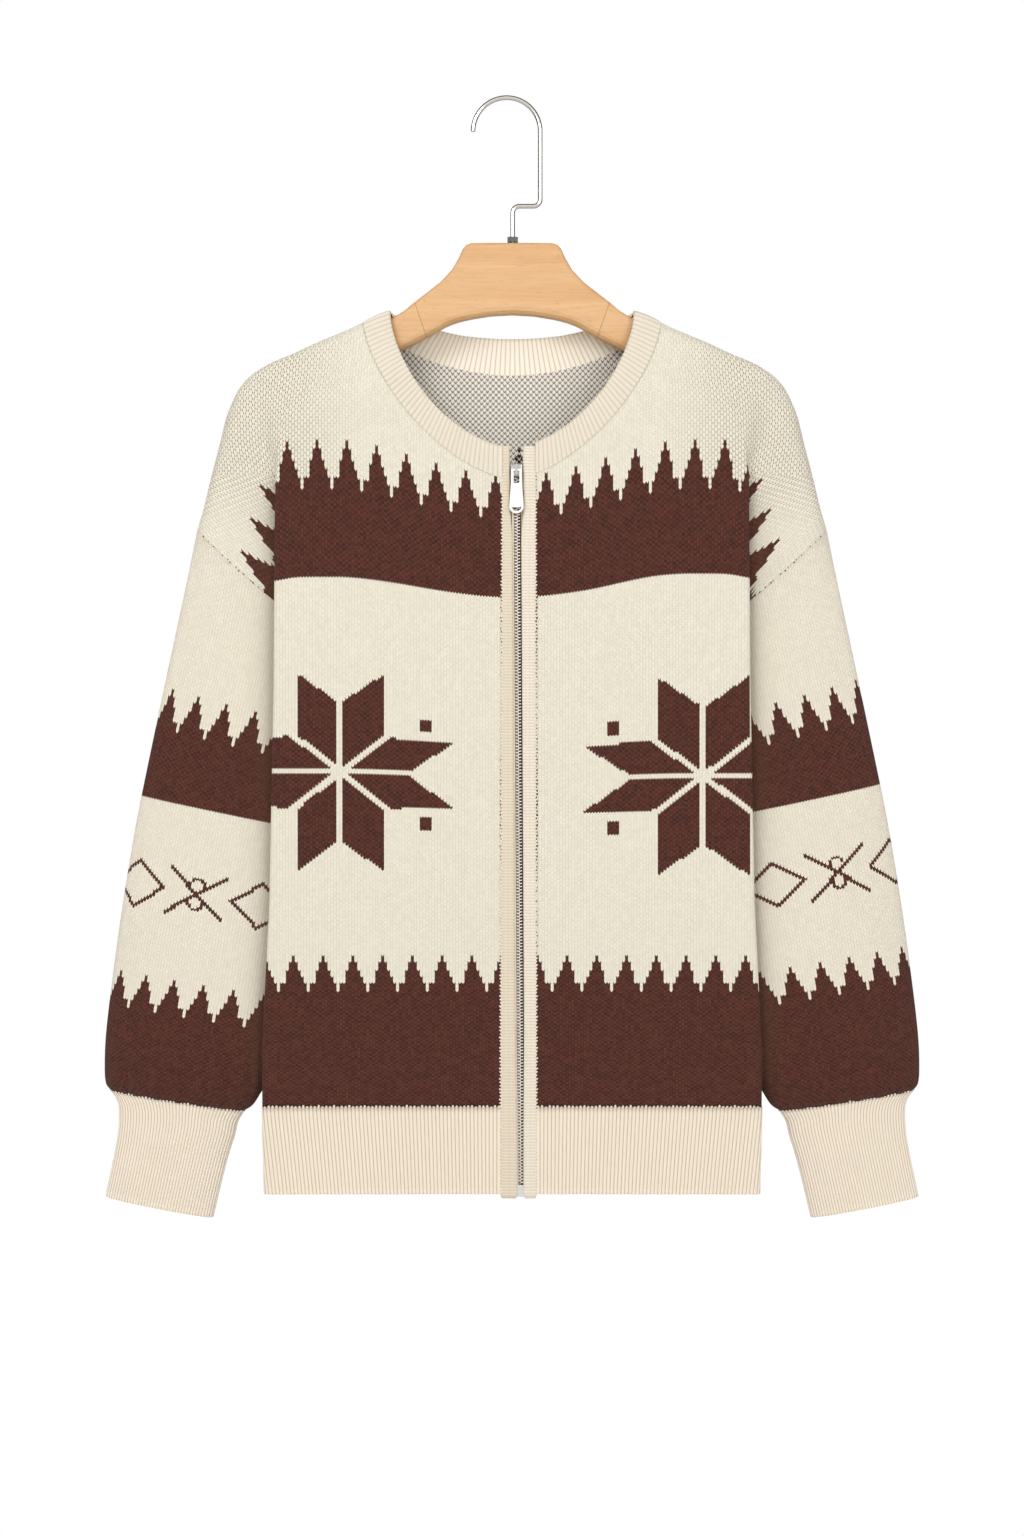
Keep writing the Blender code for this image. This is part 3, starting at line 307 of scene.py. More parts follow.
def armhole_point(share):
    span_x = UNDERARM[0] - SHOULDER_POINT[0]
    span_z = UNDERARM[1] - SHOULDER_POINT[1]
    length = math.hypot(span_x, span_z)
    sag = ARMHOLE_SAG * np.sin(math.pi * share)
    x = SHOULDER_POINT[0] + span_x * share - sag * span_z / length
    z = SHOULDER_POINT[1] + span_z * share + sag * span_x / length
    return x, z


def front_edge(side, z):
    """How far from the middle the cloth ends beside the zip."""
    return float(read(FRONT_EDGE, side, "z", z)) if side != "back" else 0.0


def underarm_ease(z):
    return nose(z - UNDERARM[1], UNDERARM_ROUNDING)


# Soft folds, given one by one: from and to on the cloth, height and half width

BODY_FOLDS = columns(
    "x0 z0 x1 z1 height width",
    (168.0, -300.0, 120.0, -360.0, 0.9, 11.0),
    (160.0, -420.0, 118.0, -470.0, 0.7, 12.0),
    (58.0, -640.0, 66.0, -745.0, -0.8, 13.0),
    (104.0, -690.0, 100.0, -745.0, 0.7, 10.0),
    (150.0, -650.0, 154.0, -745.0, -0.9, 11.0),
    (28.0, -330.0, 36.0, -420.0, 0.6, 10.0),
    (26.0, -560.0, 24.0, -700.0, 0.7, 9.0),
    (150.0, -215.0, 172.0, -290.0, 0.8, 12.0),
)
SLEEVE_FOLDS = columns(
    "x0 z0 x1 z1 height width",
    (196.0, -420.0, 206.0, -560.0, 1.4, 9.0),
    (236.0, -340.0, 214.0, -400.0, 0.8, 9.0),
    (222.0, -600.0, 236.0, -700.0, 0.9, 12.0),
    (262.0, -690.0, 262.0, -742.0, 1.2, 8.0),
    (236.0, -700.0, 234.0, -748.0, -1.3, 7.0),
    (284.0, -700.0, 281.0, -740.0, -0.9, 6.0),
    (214.0, -705.0, 214.0, -752.0, 1.0, 7.0),
    (266.0, -520.0, 276.0, -640.0, -0.8, 10.0),
)


def folds(table, x, z, shift=0.0):
    """Height of the soft folds at a place; shift moves them a little for another panel."""
    total = np.zeros_like(x, dtype=float)
    for x0, z0, x1, z1, height, width in zip(*table.values()):
        x0, x1 = x0 + shift, x1 - 0.6 * shift
        z0, z1 = z0 - 0.8 * shift, z1 + 0.5 * shift
        span_x, span_z = x1 - x0, z1 - z0
        share = np.clip(((x - x0) * span_x + (z - z0) * span_z) / (span_x ** 2 + span_z ** 2), 0.0, 1.0)
        distance = np.hypot(x - x0 - share * span_x, z - z0 - share * span_z)
        ends = np.sin(math.pi * np.clip(0.12 + 0.76 * share, 0.0, 1.0))
        total = total + height * ends * np.exp(-(distance / width) ** 2)
    return total


# Pattern places on the cloth, in millimetres

SAG_DEPTH = 33.0
SAG_WIDTH = 130.0
SAG_TOP = -240.0
SAG_HEIGHT = 393.0
SAG_REACH = 170.0
# Where the knit is pushed up beside the fold, and where the foot of the band may be lifted
FOLD_PUSH = {"height": 4.0, "x": 176.0, "half_width": 13.0, "foot": -400.0, "fade": 60.0}
FOOT_LIFT = {"start": 50.0, "fade": 60.0, "z": -362.0, "half_height": 42.0}


def band_sag(x, z):
    """How much lower the knitted rows hang here than at the fold."""
    fade = np.clip((SAG_TOP - z) / SAG_HEIGHT, 0.0, 1.0)
    return SAG_DEPTH * (1.0 - smooth(x / SAG_WIDTH)) * (1.0 - fade) ** 2


ARM_ORIGIN = (190.7, -312.4)
ARM_STRETCH = 1.16
ARM_ALONG = (0.27 * ARM_STRETCH, -0.96 * ARM_STRETCH)
ARM_UP = (0.69, 0.72)
TIP_HEIGHT = -256.5


def arm_place(x, z):
    """Pattern place on the drop shoulder, where the knit lies turned."""
    determinant = ARM_ALONG[0] * ARM_UP[1] - ARM_ALONG[1] * ARM_UP[0]
    off_x = x - ARM_ORIGIN[0]
    off_z = z - ARM_ORIGIN[1]
    along = (off_x * ARM_UP[1] - off_z * ARM_UP[0]) / determinant
    up = (ARM_ALONG[0] * off_z - ARM_ALONG[1] * off_x) / determinant
    return along, up + TIP_HEIGHT


# Meshes

def placed(name, data):
    """Add a new object to the scene."""
    obj = bpy.data.objects.new(name, data)
    bpy.context.scene.collection.objects.link(obj)
    return obj


def neighbours(index, closed):
    """A grid of point numbers and the same for the next column."""
    if closed:
        return index, np.roll(index, -1, axis=1)
    return index[:, :-1], index[:, 1:]


def grid_quads(here, after):
    return np.stack([here[:-1], after[:-1], after[1:], here[1:]], axis=-1).reshape(-1, 4)


def grid_object(name, points, maps, materials, closed=False, wall=WALL, corners=(), seam_at=None):
    """Make a thin shell from a grid of points in millimetres, rows by columns by xyz.

    maps holds one grid of places for each named map.  For the knit's map,
    corners gives other places for some faces, as pairs of a mask of faces and
    a grid, and seam_at is the column of faces where a tube's places end.
    """
    rows, count = points.shape[:2]
    flat_points = points.reshape(-1, 3)
    quads = grid_quads(*neighbours(np.arange(rows * count).reshape(rows, count), closed))
    order = slice(None, None, -1 if faces_inward(flat_points, quads) else 1)
    mesh = bpy.data.meshes.new(name)
    mesh.from_pydata((flat_points * MM).tolist(), [], quads[:, order].tolist())
    for map_name, places in maps.items():
        flat = places.reshape(-1, 2)[quads]
        if map_name == "knit" and seam_at is not None:
            on_seam = (np.arange(len(quads)) % count) == seam_at
            flat[on_seam] = flat[on_seam][:, [0, 0, 3, 3]] + np.array([[0, 0], [1, 0], [1, 0], [0, 0]]) * 0.5
        for mask, other in (corners if map_name == "knit" else ()):
            flat[mask.ravel()] = other.reshape(-1, 2)[quads][mask.ravel()]
        layer = mesh.uv_layers.new(name=map_name)
        layer.data.foreach_set("uv", flat[:, order].astype(np.float32).ravel())
    for material in materials:
        mesh.materials.append(material)
    mesh.update()
    mesh.shade_smooth()
    obj = placed(name, mesh)
    if wall:
        shell = obj.modifiers.new("wall", "SOLIDIFY")
        shell.thickness = wall * MM
        shell.offset = -1.0
        shell.use_even_offset = False
        if len(materials) > 1:
            shell.material_offset = 1
            shell.material_offset_rim = 0
    return obj


def rib_object(name, outer, inner, places, material, closed=False):
    """Make a ribbed band as one closed wall: ribs outside, plain inside."""
    rows, count = outer.shape[:2]
    total = rows * count
    index = np.arange(total).reshape(rows, count)
    here, after = neighbours(index, closed)
    face = grid_quads(here, after)
    turn = -1 if faces_inward(outer.reshape(-1, 3), face) else 1
    face = face[:, ::turn]
    edges = [(here[0], after[0], -1), (here[-1], after[-1], 1)]
    if not closed:
        edges += [(index[:-1, 0], index[1:, 0], 1), (index[:-1, -1], index[1:, -1], -1)]
    rims = [np.stack([a, b, b + total, a + total], axis=-1)[:, ::-turn * way] for a, b, way in edges]
    quads = np.concatenate([face, face[:, ::-1] + total] + rims)
    points = np.concatenate([outer.reshape(-1, 3), inner.reshape(-1, 3)])
    mesh = bpy.data.meshes.new(name)
    mesh.from_pydata((points * MM).tolist(), [], quads.tolist())
    flat = np.concatenate([places.reshape(-1, 2)] * 2)[quads]
    if closed:
        period = places[0, -1, 0] + places[0, 1, 0] - places[0, 0, 0]
        wraps = flat[:, :, 0].max(axis=1) - flat[:, :, 0].min(axis=1) > 0.5 * period
        flat[:, :, 0] += period * (wraps[:, None] & (flat[:, :, 0] < 0.5 * period))
    mesh.uv_layers.new(name="knit").data.foreach_set("uv", flat.astype(np.float32).ravel())
    mesh.materials.append(material)
    mesh.update()
    mesh.shade_smooth()
    return placed(name, mesh)


def faces_inward(points, quads):
    """Whether most of the cloth would face the hollow of the garment."""
    a, b, c, d = (points[quads[:, corner]] for corner in range(4))
    normal = np.cross(c - a, d - b)
    side = np.sign((a + c)[:, 1])
    return float((normal[:, 1] * side).sum()) < 0.0


def grid_normals(points):
    """Normals of a grid of points."""
    across = np.empty_like(points)
    across[:, 1:-1] = points[:, 2:] - points[:, :-2]
    across[:, 0] = points[:, 1] - points[:, 0]
    across[:, -1] = points[:, -1] - points[:, -2]
    down = np.empty_like(points)
    down[1:-1] = points[2:] - points[:-2]
    down[0] = points[1] - points[0]
    down[-1] = points[-1] - points[-2]
    normal = np.cross(down, across)
    return normal / np.maximum(np.linalg.norm(normal, axis=-1, keepdims=True), 1e-9)


def wear(obj, node=None):
    """Let a made piece ride on the body, in place of a solid where one is named."""
    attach(obj, BODY_NAME)
    if node:
        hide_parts(node)


# Rows of the folded body

FRONT_N = 64
TURN_N = 9
RETURN_N = 6
CREASE_N = 7
ARM_N = 30
ARM_EASE_POWER = 1.6
ARM_EASE_SHARE = 0.4
FOLD_AT = FRONT_N
RETURN_AT = FRONT_N + TURN_N
CREASE_AT = RETURN_AT + RETURN_N
ARM_AT = CREASE_AT + CREASE_N
ROW_N = ARM_AT + ARM_N


def body_path(z, edge_x, end_x=None):
    """x and y along the right side of one row, from the zip edge to the side."""
    fold = float(read(BODY, "fold", "z", z))
    depth = float(read(BODY, "depth", "z", z))
    dip = float(read(BODY, "dip", "z", z))
    start_x = fold - FOLD_RADIUS
    front_x = edge_x + (start_x - edge_x) * np.arange(FRONT_N) / FRONT_N
    front_y = dip * (1.0 - (front_x / start_x) ** 2) - depth
    turn = mix(FOLD_START_TURN, math.pi, float(smooth((FOLD_TOP - z) / (FOLD_TOP - FOLD_FULL))))
    angle = turn * np.arange(TURN_N) / (TURN_N - 1)
    fold_x = start_x + FOLD_RADIUS * np.sin(angle)
    fold_y = FOLD_RADIUS * (1.0 - np.cos(angle)) - depth
    back_x = fold_x[-1]
    back_y = fold_y[-1]
    step = np.arange(1, RETURN_N + 1) / (RETURN_N + 1)
    if end_x is None:
        settle = float(smooth((UNDERARM[1] - z) / GUSSET_SETTLE))
        reach = mix(SIDE_REACH_TOP, SIDE_REACH_LOW, settle)
        turn_x = float(read(BODY, "seam", "z", z)) + reach
        return_x = mix(back_x, turn_x, step)
        return_y = np.full(RETURN_N, back_y)
        angle = 0.5 * math.pi * np.linspace(0.0, 1.0, CREASE_N + ARM_N)
        rest_x = turn_x - reach * np.sin(angle)
        rest_y = np.minimum(back_y * np.cos(angle), -HALF_GAP)
        x = np.concatenate([front_x, fold_x, return_x, rest_x])
        y = np.concatenate([front_y, fold_y, return_y, rest_y])
        return x, y
    end_y = ARM_DEPTH * float(underarm_ease(z))
    crease = 0.5 * (-back_y - end_y)
    if z > FOLD_FULL:
        crease = CREASE_RADIUS
        rise = depth - ARM_DEPTH - (FOLD_RADIUS + crease) * (1.0 - math.cos(turn))
        run = max(0.0, rise / max(math.sin(turn), 0.05))
    else:
        share = (FOLD_FULL - z) / (FOLD_FULL - UNDERARM[1])
        run = start_x - mix(start_x, UNDERARM[0], share)
    turn_x = back_x + run * math.cos(turn)
    turn_y = back_y + run * math.sin(turn)
    return_x = mix(back_x, turn_x, step)
    return_y = mix(back_y, turn_y, step)
    reach = min(crease, CREASE_REACH)
    angle = turn * (1.0 - np.arange(CREASE_N) / (CREASE_N - 1))
    crease_x = turn_x + reach * (math.sin(turn) - np.sin(angle))
    crease_y = turn_y - crease * (math.cos(turn) - np.cos(angle))
    part = 1.0 - (1.0 - np.arange(1, ARM_N + 1) / ARM_N) ** ARM_EASE_POWER
    arm_x = mix(crease_x[-1], end_x, part)
    arm_y = -arm_depth(arm_x, np.full(ARM_N, z)) * float(underarm_ease(z))
    arm_y = mix(crease_y[-1], arm_y, smooth(part / ARM_EASE_SHARE))
    x = np.concatenate([front_x, fold_x, return_x, crease_x, arm_x])
    y = np.concatenate([front_y, fold_y, return_y, crease_y, np.minimum(arm_y, -HALF_GAP)])
    return x, y


def lower_grid(side, heights):
    """Points of the folded body from the top of the fold to the rib seam."""
    rows = []
    for z, end_x in heights:
        x, y = body_path(z, front_edge(side, z), end_x)
        fade = 1.0 - float(smooth((FOLD_TOP - z) / YOKE_FADE))
        drop = fade * yoke_drop(x)
        drop[FOLD_AT:] = 0.0
        rows.append(np.stack([x, y, z - drop], axis=-1))
    return np.array(rows)


SHADE_WIDTH = 10.0
SLEEVE_SHADE_WIDTH = 9.0
SLEEVE_SHADE_FROM = 2.0
SHADE_POWER = 1.3
SHADE_TOP = -272.0
SHADE_FADE = 40.0


def fold_shade(grid):
    """Soft shadow in the valley beside the fold, on the drop shoulder."""
    x = grid[:, :, 0]
    z = grid[:, :, 2]
    away = (x - read(BODY, "fold", "z", z)) / SHADE_WIDTH
    beside = np.exp(-np.clip(away, 0.0, None) ** SHADE_POWER) * smooth((SHADE_TOP - z) / SHADE_FADE)
    beside[:, :FOLD_AT + 4] = 0.0
    return np.stack([beside, np.zeros_like(beside)], axis=-1)


def body_heights(count):
    """Rows with where each ends on the ridge or the armhole."""
    result = []
    for z in np.linspace(FOLD_TOP, SHOULDER_POINT[1], 14):
        result.append((z, float(np.interp(-z, -RIDGE_Z, RIDGE_X))))
    for share in np.concatenate([[0.012, 0.03, 0.06], np.linspace(0.1, 0.94, 26), [0.965, 0.985, 0.996]]):
        x, z = armhole_point(share)
        result.append((float(z), float(x)))
    for z in np.concatenate([[UNDERARM[1], -440.0, -446.0, -455.0], np.linspace(-465.0, RIB_SEAM, count)]):
        result.append((float(z), None))
    return result


def ridge_at(down):
    """Point of the ridge between the neckline (0) and the top of the fold (1)."""
    start = int(np.argmin(np.abs(RIDGE_X - NECK_HALF_WIDTH)))
    end = int(np.argmin(np.abs(RIDGE_Z - FOLD_TOP)))
    xs = np.concatenate([[NECK_HALF_WIDTH], RIDGE_X[start + 1:end], [222.6]])
    zs = np.concatenate([[NECK_RIDGE], RIDGE_Z[start + 1:end], [FOLD_TOP]])
    along = run_along(xs, zs)
    return np.interp(down * along[-1], along, xs), np.interp(down * along[-1], along, zs)


def yoke_grid(side, bottom, count):
    """Rows of the yoke from the neckline down to the first row of the body."""
    across = (bottom[:, 0] - bottom[0, 0]) / (bottom[-1, 0] - bottom[0, 0])
    across[-1] = 1.0
    top_x, top_z = neck_point(side, across)
    rows = []
    for down in np.linspace(0.0, 1.0, count)[:-1]:
        right_x, right_z = ridge_at(down)
        left_x = mix(top_x[0], bottom[0, 0], down)
        left_z = mix(top_z[0], bottom[0, 2], down)
        x = mix(top_x, bottom[:, 0], down) + mix(left_x, right_x, across)
        z = mix(top_z, bottom[:, 2], down) + mix(left_z, right_z, across)
        x -= mix(mix(top_x[0], top_x[-1], across), mix(bottom[0, 0], bottom[-1, 0], across), down)
        z -= mix(mix(top_z[0], top_z[-1], across), mix(bottom[0, 2], bottom[-1, 2], across), down)
        y = -np.maximum(cloth_depth(x, z), HALF_GAP)
        y = mix(y, bottom[:, 1], float(smooth((down - 0.82) / 0.18)))
        y[-1] = -HALF_GAP
        rows.append(np.stack([x, y, z], axis=-1))
    return np.array(rows)


def panel_grid(side, yoke_count, count):
    """Points of one half of a panel, with its soft folds."""
    lower = lower_grid(side, body_heights(count))
    grid = np.concatenate([yoke_grid(side, lower[0], yoke_count), lower])
    away = smooth((np.arange(ROW_N) - 3.0) / 8.0) * smooth((ROW_N - 1.0 - np.arange(ROW_N)) / 8.0)
    rise = folds(BODY_FOLDS, grid[:, :, 0], grid[:, :, 2], 0.0 if side == "left" else 6.0)
    rows = len(grid)
    ends = smooth(np.arange(rows) / 8.0) * smooth((rows - 1.0 - np.arange(rows)) / 3.0)
    rise = rise * away[None, :] * ends[:, None]
    rise[:, RETURN_AT:] = 0.0
    grid[:, :, 1] -= rise
    return grid


# How the knit lies on each front: stretch and start of the turned pattern on the drop shoulder,
# lift of the upper band's foot, and how far along the shoulder the last point is
ARM_KNIT = {
    "left": {"arm_scale": 1.0935, "arm_shift": 6.58, "lift": 2.5, "last": 32.5},
    "right": {},
}
# Past the fold, above the drop shoulder, the bands start this much lower
UNTURNED_RISE = 40.0
# How fast the turned pattern runs out into plain cream past the last point
PLAIN_SLOPE = 3.0


def body_places(grid, yoke_count, first, sag=1.0, arm_scale=1.0, arm_shift=0.0, lift=0.0, last=999.0):
    """Pattern places of a panel: along the cloth from the zip edge, and height."""
    x = grid[:, :, 0]
    z = grid[:, :, 2]
    step = np.hypot(np.diff(x, axis=1), np.diff(grid[:, :, 1], axis=1))
    along = x[:, :1] + np.concatenate([np.zeros((len(grid), 1)), np.cumsum(step, axis=1)], axis=1)
    up = z + sag * band_sag(np.minimum(x, SAG_REACH), z)
    at_fold = np.exp(-((x - FOLD_PUSH["x"]) / FOLD_PUSH["half_width"]) ** 2)
    up = up + FOLD_PUSH["height"] * at_fold * smooth((z - FOLD_PUSH["foot"]) / FOLD_PUSH["fade"])
    at_foot = np.exp(-((z - FOOT_LIFT["z"]) / FOOT_LIFT["half_height"]) ** 2)
    up = up - lift * smooth((x - FOOT_LIFT["start"]) / FOOT_LIFT["fade"]) * at_foot
    places = np.stack([along, up], axis=-1)
    turned = np.stack(arm_place(x, z), axis=-1)
    turned[:, :, 0] = turned[:, :, 0] * arm_scale + arm_shift
    turned[:, :, 1] += PLAIN_SLOPE * np.maximum(0.0, turned[:, :, 0] - last)
    turned[:, :, 0] += (first + 0.5) * STITCH_WIDE
    lower = np.zeros((len(grid) - 1, ROW_N - 1), bool)
    lower[yoke_count - 1:, CREASE_AT + 2:] = True
    upper = np.zeros_like(lower)
    upper[:yoke_count - 1, RETURN_AT:] = True
    return places, [(lower, turned), (upper, places + np.array([0.0, UNTURNED_RISE]))]


# Materials

class Graph:
    """Short calls that build a node tree."""

    def __init__(self, name):
        self.material = bpy.data.materials.new(name)
        self.material.use_nodes = True
        self.tree = self.material.node_tree
        self.shader = self.tree.nodes["Principled BSDF"]

    def link(self, value, target):
        if isinstance(value, (int, float)):
            target.default_value = value
        elif isinstance(value, tuple):
            target.default_value = (*value, 1.0)
        else:
            self.tree.links.new(value, target)

    def math(self, operation, *values, clamp=False):
        node = self.tree.nodes.new("ShaderNodeMath")
        node.operation = operation
        node.use_clamp = clamp
        for value, target in zip(values, node.inputs):
            self.link(value, target)
        return node.outputs[0]

    def add(self, a, b):
        return self.math("ADD", a, b)

    def sub(self, a, b):
        return self.math("SUBTRACT", a, b)

    def mul(self, a, b):
        return self.math("MULTIPLY", a, b)

    def ratio(self, a, b):
        return self.math("DIVIDE", a, b)

    def abs(self, value):
        return self.math("ABSOLUTE", value)

    def near(self, value, middle, reach):
        """Where a value is within a reach of a middle."""
        return self.less(self.abs(self.sub(value, middle)), reach)

    def wrap(self, value, period):
        return self.math("FLOORED_MODULO", value, period)

    def fold(self, value, pitch):
        """From 1 at the borders of each pitch down to 0 at its middle."""
        return self.abs(self.line(self.math("FRACT", self.ratio(value, pitch)), 2.0, -1.0))

    def join(self, operation, values):
        result = values[0]
        for value in values[1:]:
            result = self.math(operation, result, value)
        return result

    def both(self, *values):
        return self.join("MINIMUM", values)

    def either(self, *values):
        return self.join("MAXIMUM", values)

    def less(self, a, b):
        return self.math("LESS_THAN", a, b)

    def more(self, a, b):
        return self.math("GREATER_THAN", a, b)

    def between(self, value, low, high):
        return self.both(self.more(value, low), self.less(value, high))

    def line(self, value, slope, offset):
        return self.math("MULTIPLY_ADD", value, slope, offset)

    def ramp(self, value, low, high, to_low=0.0, to_high=1.0):
        node = self.tree.nodes.new("ShaderNodeMapRange")
        node.interpolation_type = "SMOOTHSTEP"
        self.link(value, node.inputs["Value"])
        for key, number in (("From Min", low), ("From Max", high), ("To Min", to_low), ("To Max", to_high)):
            node.inputs[key].default_value = number
        return node.outputs["Result"]

    def places(self, name):
        node = self.tree.nodes.new("ShaderNodeUVMap")
        node.uv_map = name
        return self.split(node.outputs["UV"])[:2]

    def object_place(self):
        node = self.tree.nodes.new("ShaderNodeTexCoord")
        return node.outputs["Object"]

    def split(self, vector):
        node = self.tree.nodes.new("ShaderNodeSeparateXYZ")
        self.tree.links.new(vector, node.inputs[0])
        return node.outputs[0], node.outputs[1], node.outputs[2]

    def noise(self, scale, detail=2.0, vector=None, stretch=None):
        node = self.tree.nodes.new("ShaderNodeTexNoise")
        node.inputs["Scale"].default_value = scale
        node.inputs["Detail"].default_value = detail
        vector = vector or self.object_place()
        if stretch:
            mapping = self.tree.nodes.new("ShaderNodeMapping")
            mapping.inputs["Scale"].default_value = stretch
            self.tree.links.new(vector, mapping.inputs["Vector"])
            vector = mapping.outputs["Vector"]
        self.tree.links.new(vector, node.inputs["Vector"])
        return node.outputs["Fac"]

    def random(self, first, second):
        """A number from 0 to 1 for each pair of whole numbers."""
        node = self.tree.nodes.new("ShaderNodeTexWhiteNoise")
        node.noise_dimensions = "2D"
        join = self.tree.nodes.new("ShaderNodeCombineXYZ")
        self.link(first, join.inputs[0])
        self.link(second, join.inputs[1])
        self.tree.links.new(join.outputs[0], node.inputs["Vector"])
        return node.outputs["Value"]

    def colour(self, share, first, second):
        node = self.tree.nodes.new("ShaderNodeMix")
        node.data_type = "RGBA"
        node.clamp_factor = True
        self.link(share, node.inputs[0])
        self.link(first, node.inputs[6])
        self.link(second, node.inputs[7])
        return node.outputs[2]

    def veil(self, colour, share, strength, over):
        """Lay another colour over this one, by a share times a strength."""
        return self.colour(self.mul(share, strength), colour, over)

    def bump(self, height, strength, distance):
        node = self.tree.nodes.new("ShaderNodeBump")
        node.inputs["Strength"].default_value = strength
        node.inputs["Distance"].default_value = distance * MM
        self.link(height, node.inputs["Height"])
        self.tree.links.new(node.outputs["Normal"], self.shader.inputs["Normal"])

    def finish(self, colour, roughness, metallic=0.0, sheen=0.0, coat=0.0):
        self.link(colour, self.shader.inputs["Base Color"])
        self.link(roughness, self.shader.inputs["Roughness"])
        self.shader.inputs["Metallic"].default_value = metallic
        self.shader.inputs["Sheen Weight"].default_value = sheen
        self.shader.inputs["Sheen Roughness"].default_value = 0.5
        self.shader.inputs["Coat Weight"].default_value = coat
        return self.material


def linear(*value):
    """A colour given as 0 to 255 on screen, as the shader wants it."""
    result = []
    for part in value:
        part = part / 255.0
        result.append(part / 12.92 if part <= 0.04045 else ((part + 0.055) / 1.055) ** 2.4)
    return tuple(result)


def dim(colour, share):
    return tuple(share * part for part in colour)


CREAM = linear(252, 247, 229)
SLEEVE_CREAM = linear(252, 245, 226)
CREAM_SHADE = linear(208, 196, 174)
BROWN = linear(49, 14, 6)
BROWN_LIGHT = linear(112, 55, 37)
BROWN_SHADE = linear(28, 7, 4)
# Colour of the painted shade in the grooves between ribs
RIB_GROOVE_SHADE = linear(196, 160, 126)
RIB_COURSE = 1.5

# Top of each knitted column in one point of the bands: rows below the tip, by column
POINT_ROWS = (0.0, 3.0, 7.0, 13.0, 13.0, 17.0, 13.0, 10.0, 7.0, 3.0)
BAND_FOOT = -355.5
LOW_BAND_TIP = -631.5


def row_of(height):
    """Number of the knitted row at a height; the rows hang taller towards the shoulder."""
    down = ROW_DATUM - height
    return -(ROW_RATE * down + 0.5 * ROW_GAIN * down * down)


def stitches(g, u, v):
    """Stitch that a place lies on: its middle, its number and where in it the place is."""
    column_raw = g.ratio(u, STITCH_WIDE)
    column = g.math("FLOOR", column_raw)
    across = g.sub(column_raw, column)
    leg = g.abs(g.line(across, 2.0, -1.0))
    down = g.sub(ROW_DATUM, v)
    level = g.mul(g.mul(g.line(down, 0.5 * ROW_GAIN, ROW_RATE), down), -1.0)
    row_raw = g.sub(level, g.mul(leg, LEG_RISE))
    row = g.math("FLOOR", row_raw)
    up = g.sub(row_raw, row)
    middle_u = g.mul(g.add(column, 0.5), STITCH_WIDE)
    middle = g.add(row, STITCH_MIDDLE)
    root = g.math("SQRT", g.line(middle, -2.0 * ROW_GAIN, ROW_RATE * ROW_RATE))
    middle_v = g.sub(ROW_DATUM, g.line(root, 1.0 / ROW_GAIN, -ROW_RATE / ROW_GAIN))
    return middle_u, middle_v, column, row, up, leg


def points_below(g, column, row, tip, first):
    """Brown below a line of knitted points whose tips are at one height."""
    place = g.wrap(g.sub(column, first), float(len(POINT_ROWS)))
    steps = [
        g.mul(g.more(place, at - 0.5), POINT_ROWS[at] - POINT_ROWS[at - 1])
        for at in range(1, len(POINT_ROWS))
        if POINT_ROWS[at] != POINT_ROWS[at - 1]
    ]
    rows = g.join("ADD", steps)
    return g.less(row, g.sub(float(round(row_of(tip))), rows))


# Width of one pixel of the photo on the front of the body and on the sleeves
PX = 0.72816
SLEEVE_PX = 0.7334


def star(g, across, up, stretch):
    """Eight-pointed knitted star; across and up are from its middle, its borders in pixels."""
    p = g.mul(g.abs(across), 1.0 / (PX * stretch))
    q = g.mul(g.abs(up), 1.0 / PX)
    upright = g.both(
        g.between(p, 3.2, 43.6),
        g.more(q, g.line(p, 0.785, 3.6)),
        g.less(q, g.line(p, 0.72, 68.2)),
    )
    level = g.both(
        g.more(q, 2.6),
        g.less(q, g.line(p, 0.785, -3.6)),
        g.less(q, g.line(p, -0.03, 37.4)),
        g.less(p, g.line(q, 1.4, 66.8)),
    )
    return g.either(upright, level, g.both(g.near(p, 87.0, 5.6), g.near(q, 51.0, 6.6)))


def body_pattern(star_x, star_z, stretch, first_top, first_low):
    """Bands and stars of a front, or of the back on both sides of its middle."""
    def build(g, u, v, column, row):
        top = g.both(points_below(g, column, row, TIP_HEIGHT, first_top), g.more(v, BAND_FOOT))
        low = points_below(g, column, row, LOW_BAND_TIP, first_low)
        mark = star(g, g.sub(g.abs(u), star_x), g.sub(v, star_z), stretch)
        return g.either(top, low, mark)
    return build


BODY_PATTERN = {
    "left": body_pattern(139.4, -500.4, 1.05, 1.0, 8.0),
    "right": body_pattern(125.5, -497.4, 1.0, 5.0, 3.0),
    "back": body_pattern(132.0, -499.0, 1.0, 2.0, 5.0),
}

# Heights and first columns of the bands, and height and start of the row of diamonds
SLEEVE_PATTERN = columns(
    "side top_tip top_first top_foot middle phase low_tip low_first",
    ("left", -437.9, 2.0, -515.3, -572.9, 4.2, -637.0, 4.0),
    ("right", -443.5, 5.0, -524.5, -587.5, 14.5, -653.0, 5.0),
)
DIAMOND_PERIOD = 127.5
DIAMOND_HALF_WIDE = 28.7
DIAMOND_HALF_HIGH = 22.9
DIAMOND_LINE = 0.1
CROSS_SLOPE = 0.78
CROSS_REACH = 30.0
CROSS_LINE = 2.3
RING_UP = 8.2
RING_RADIUS = 7.4
RING_LINE = 1.5


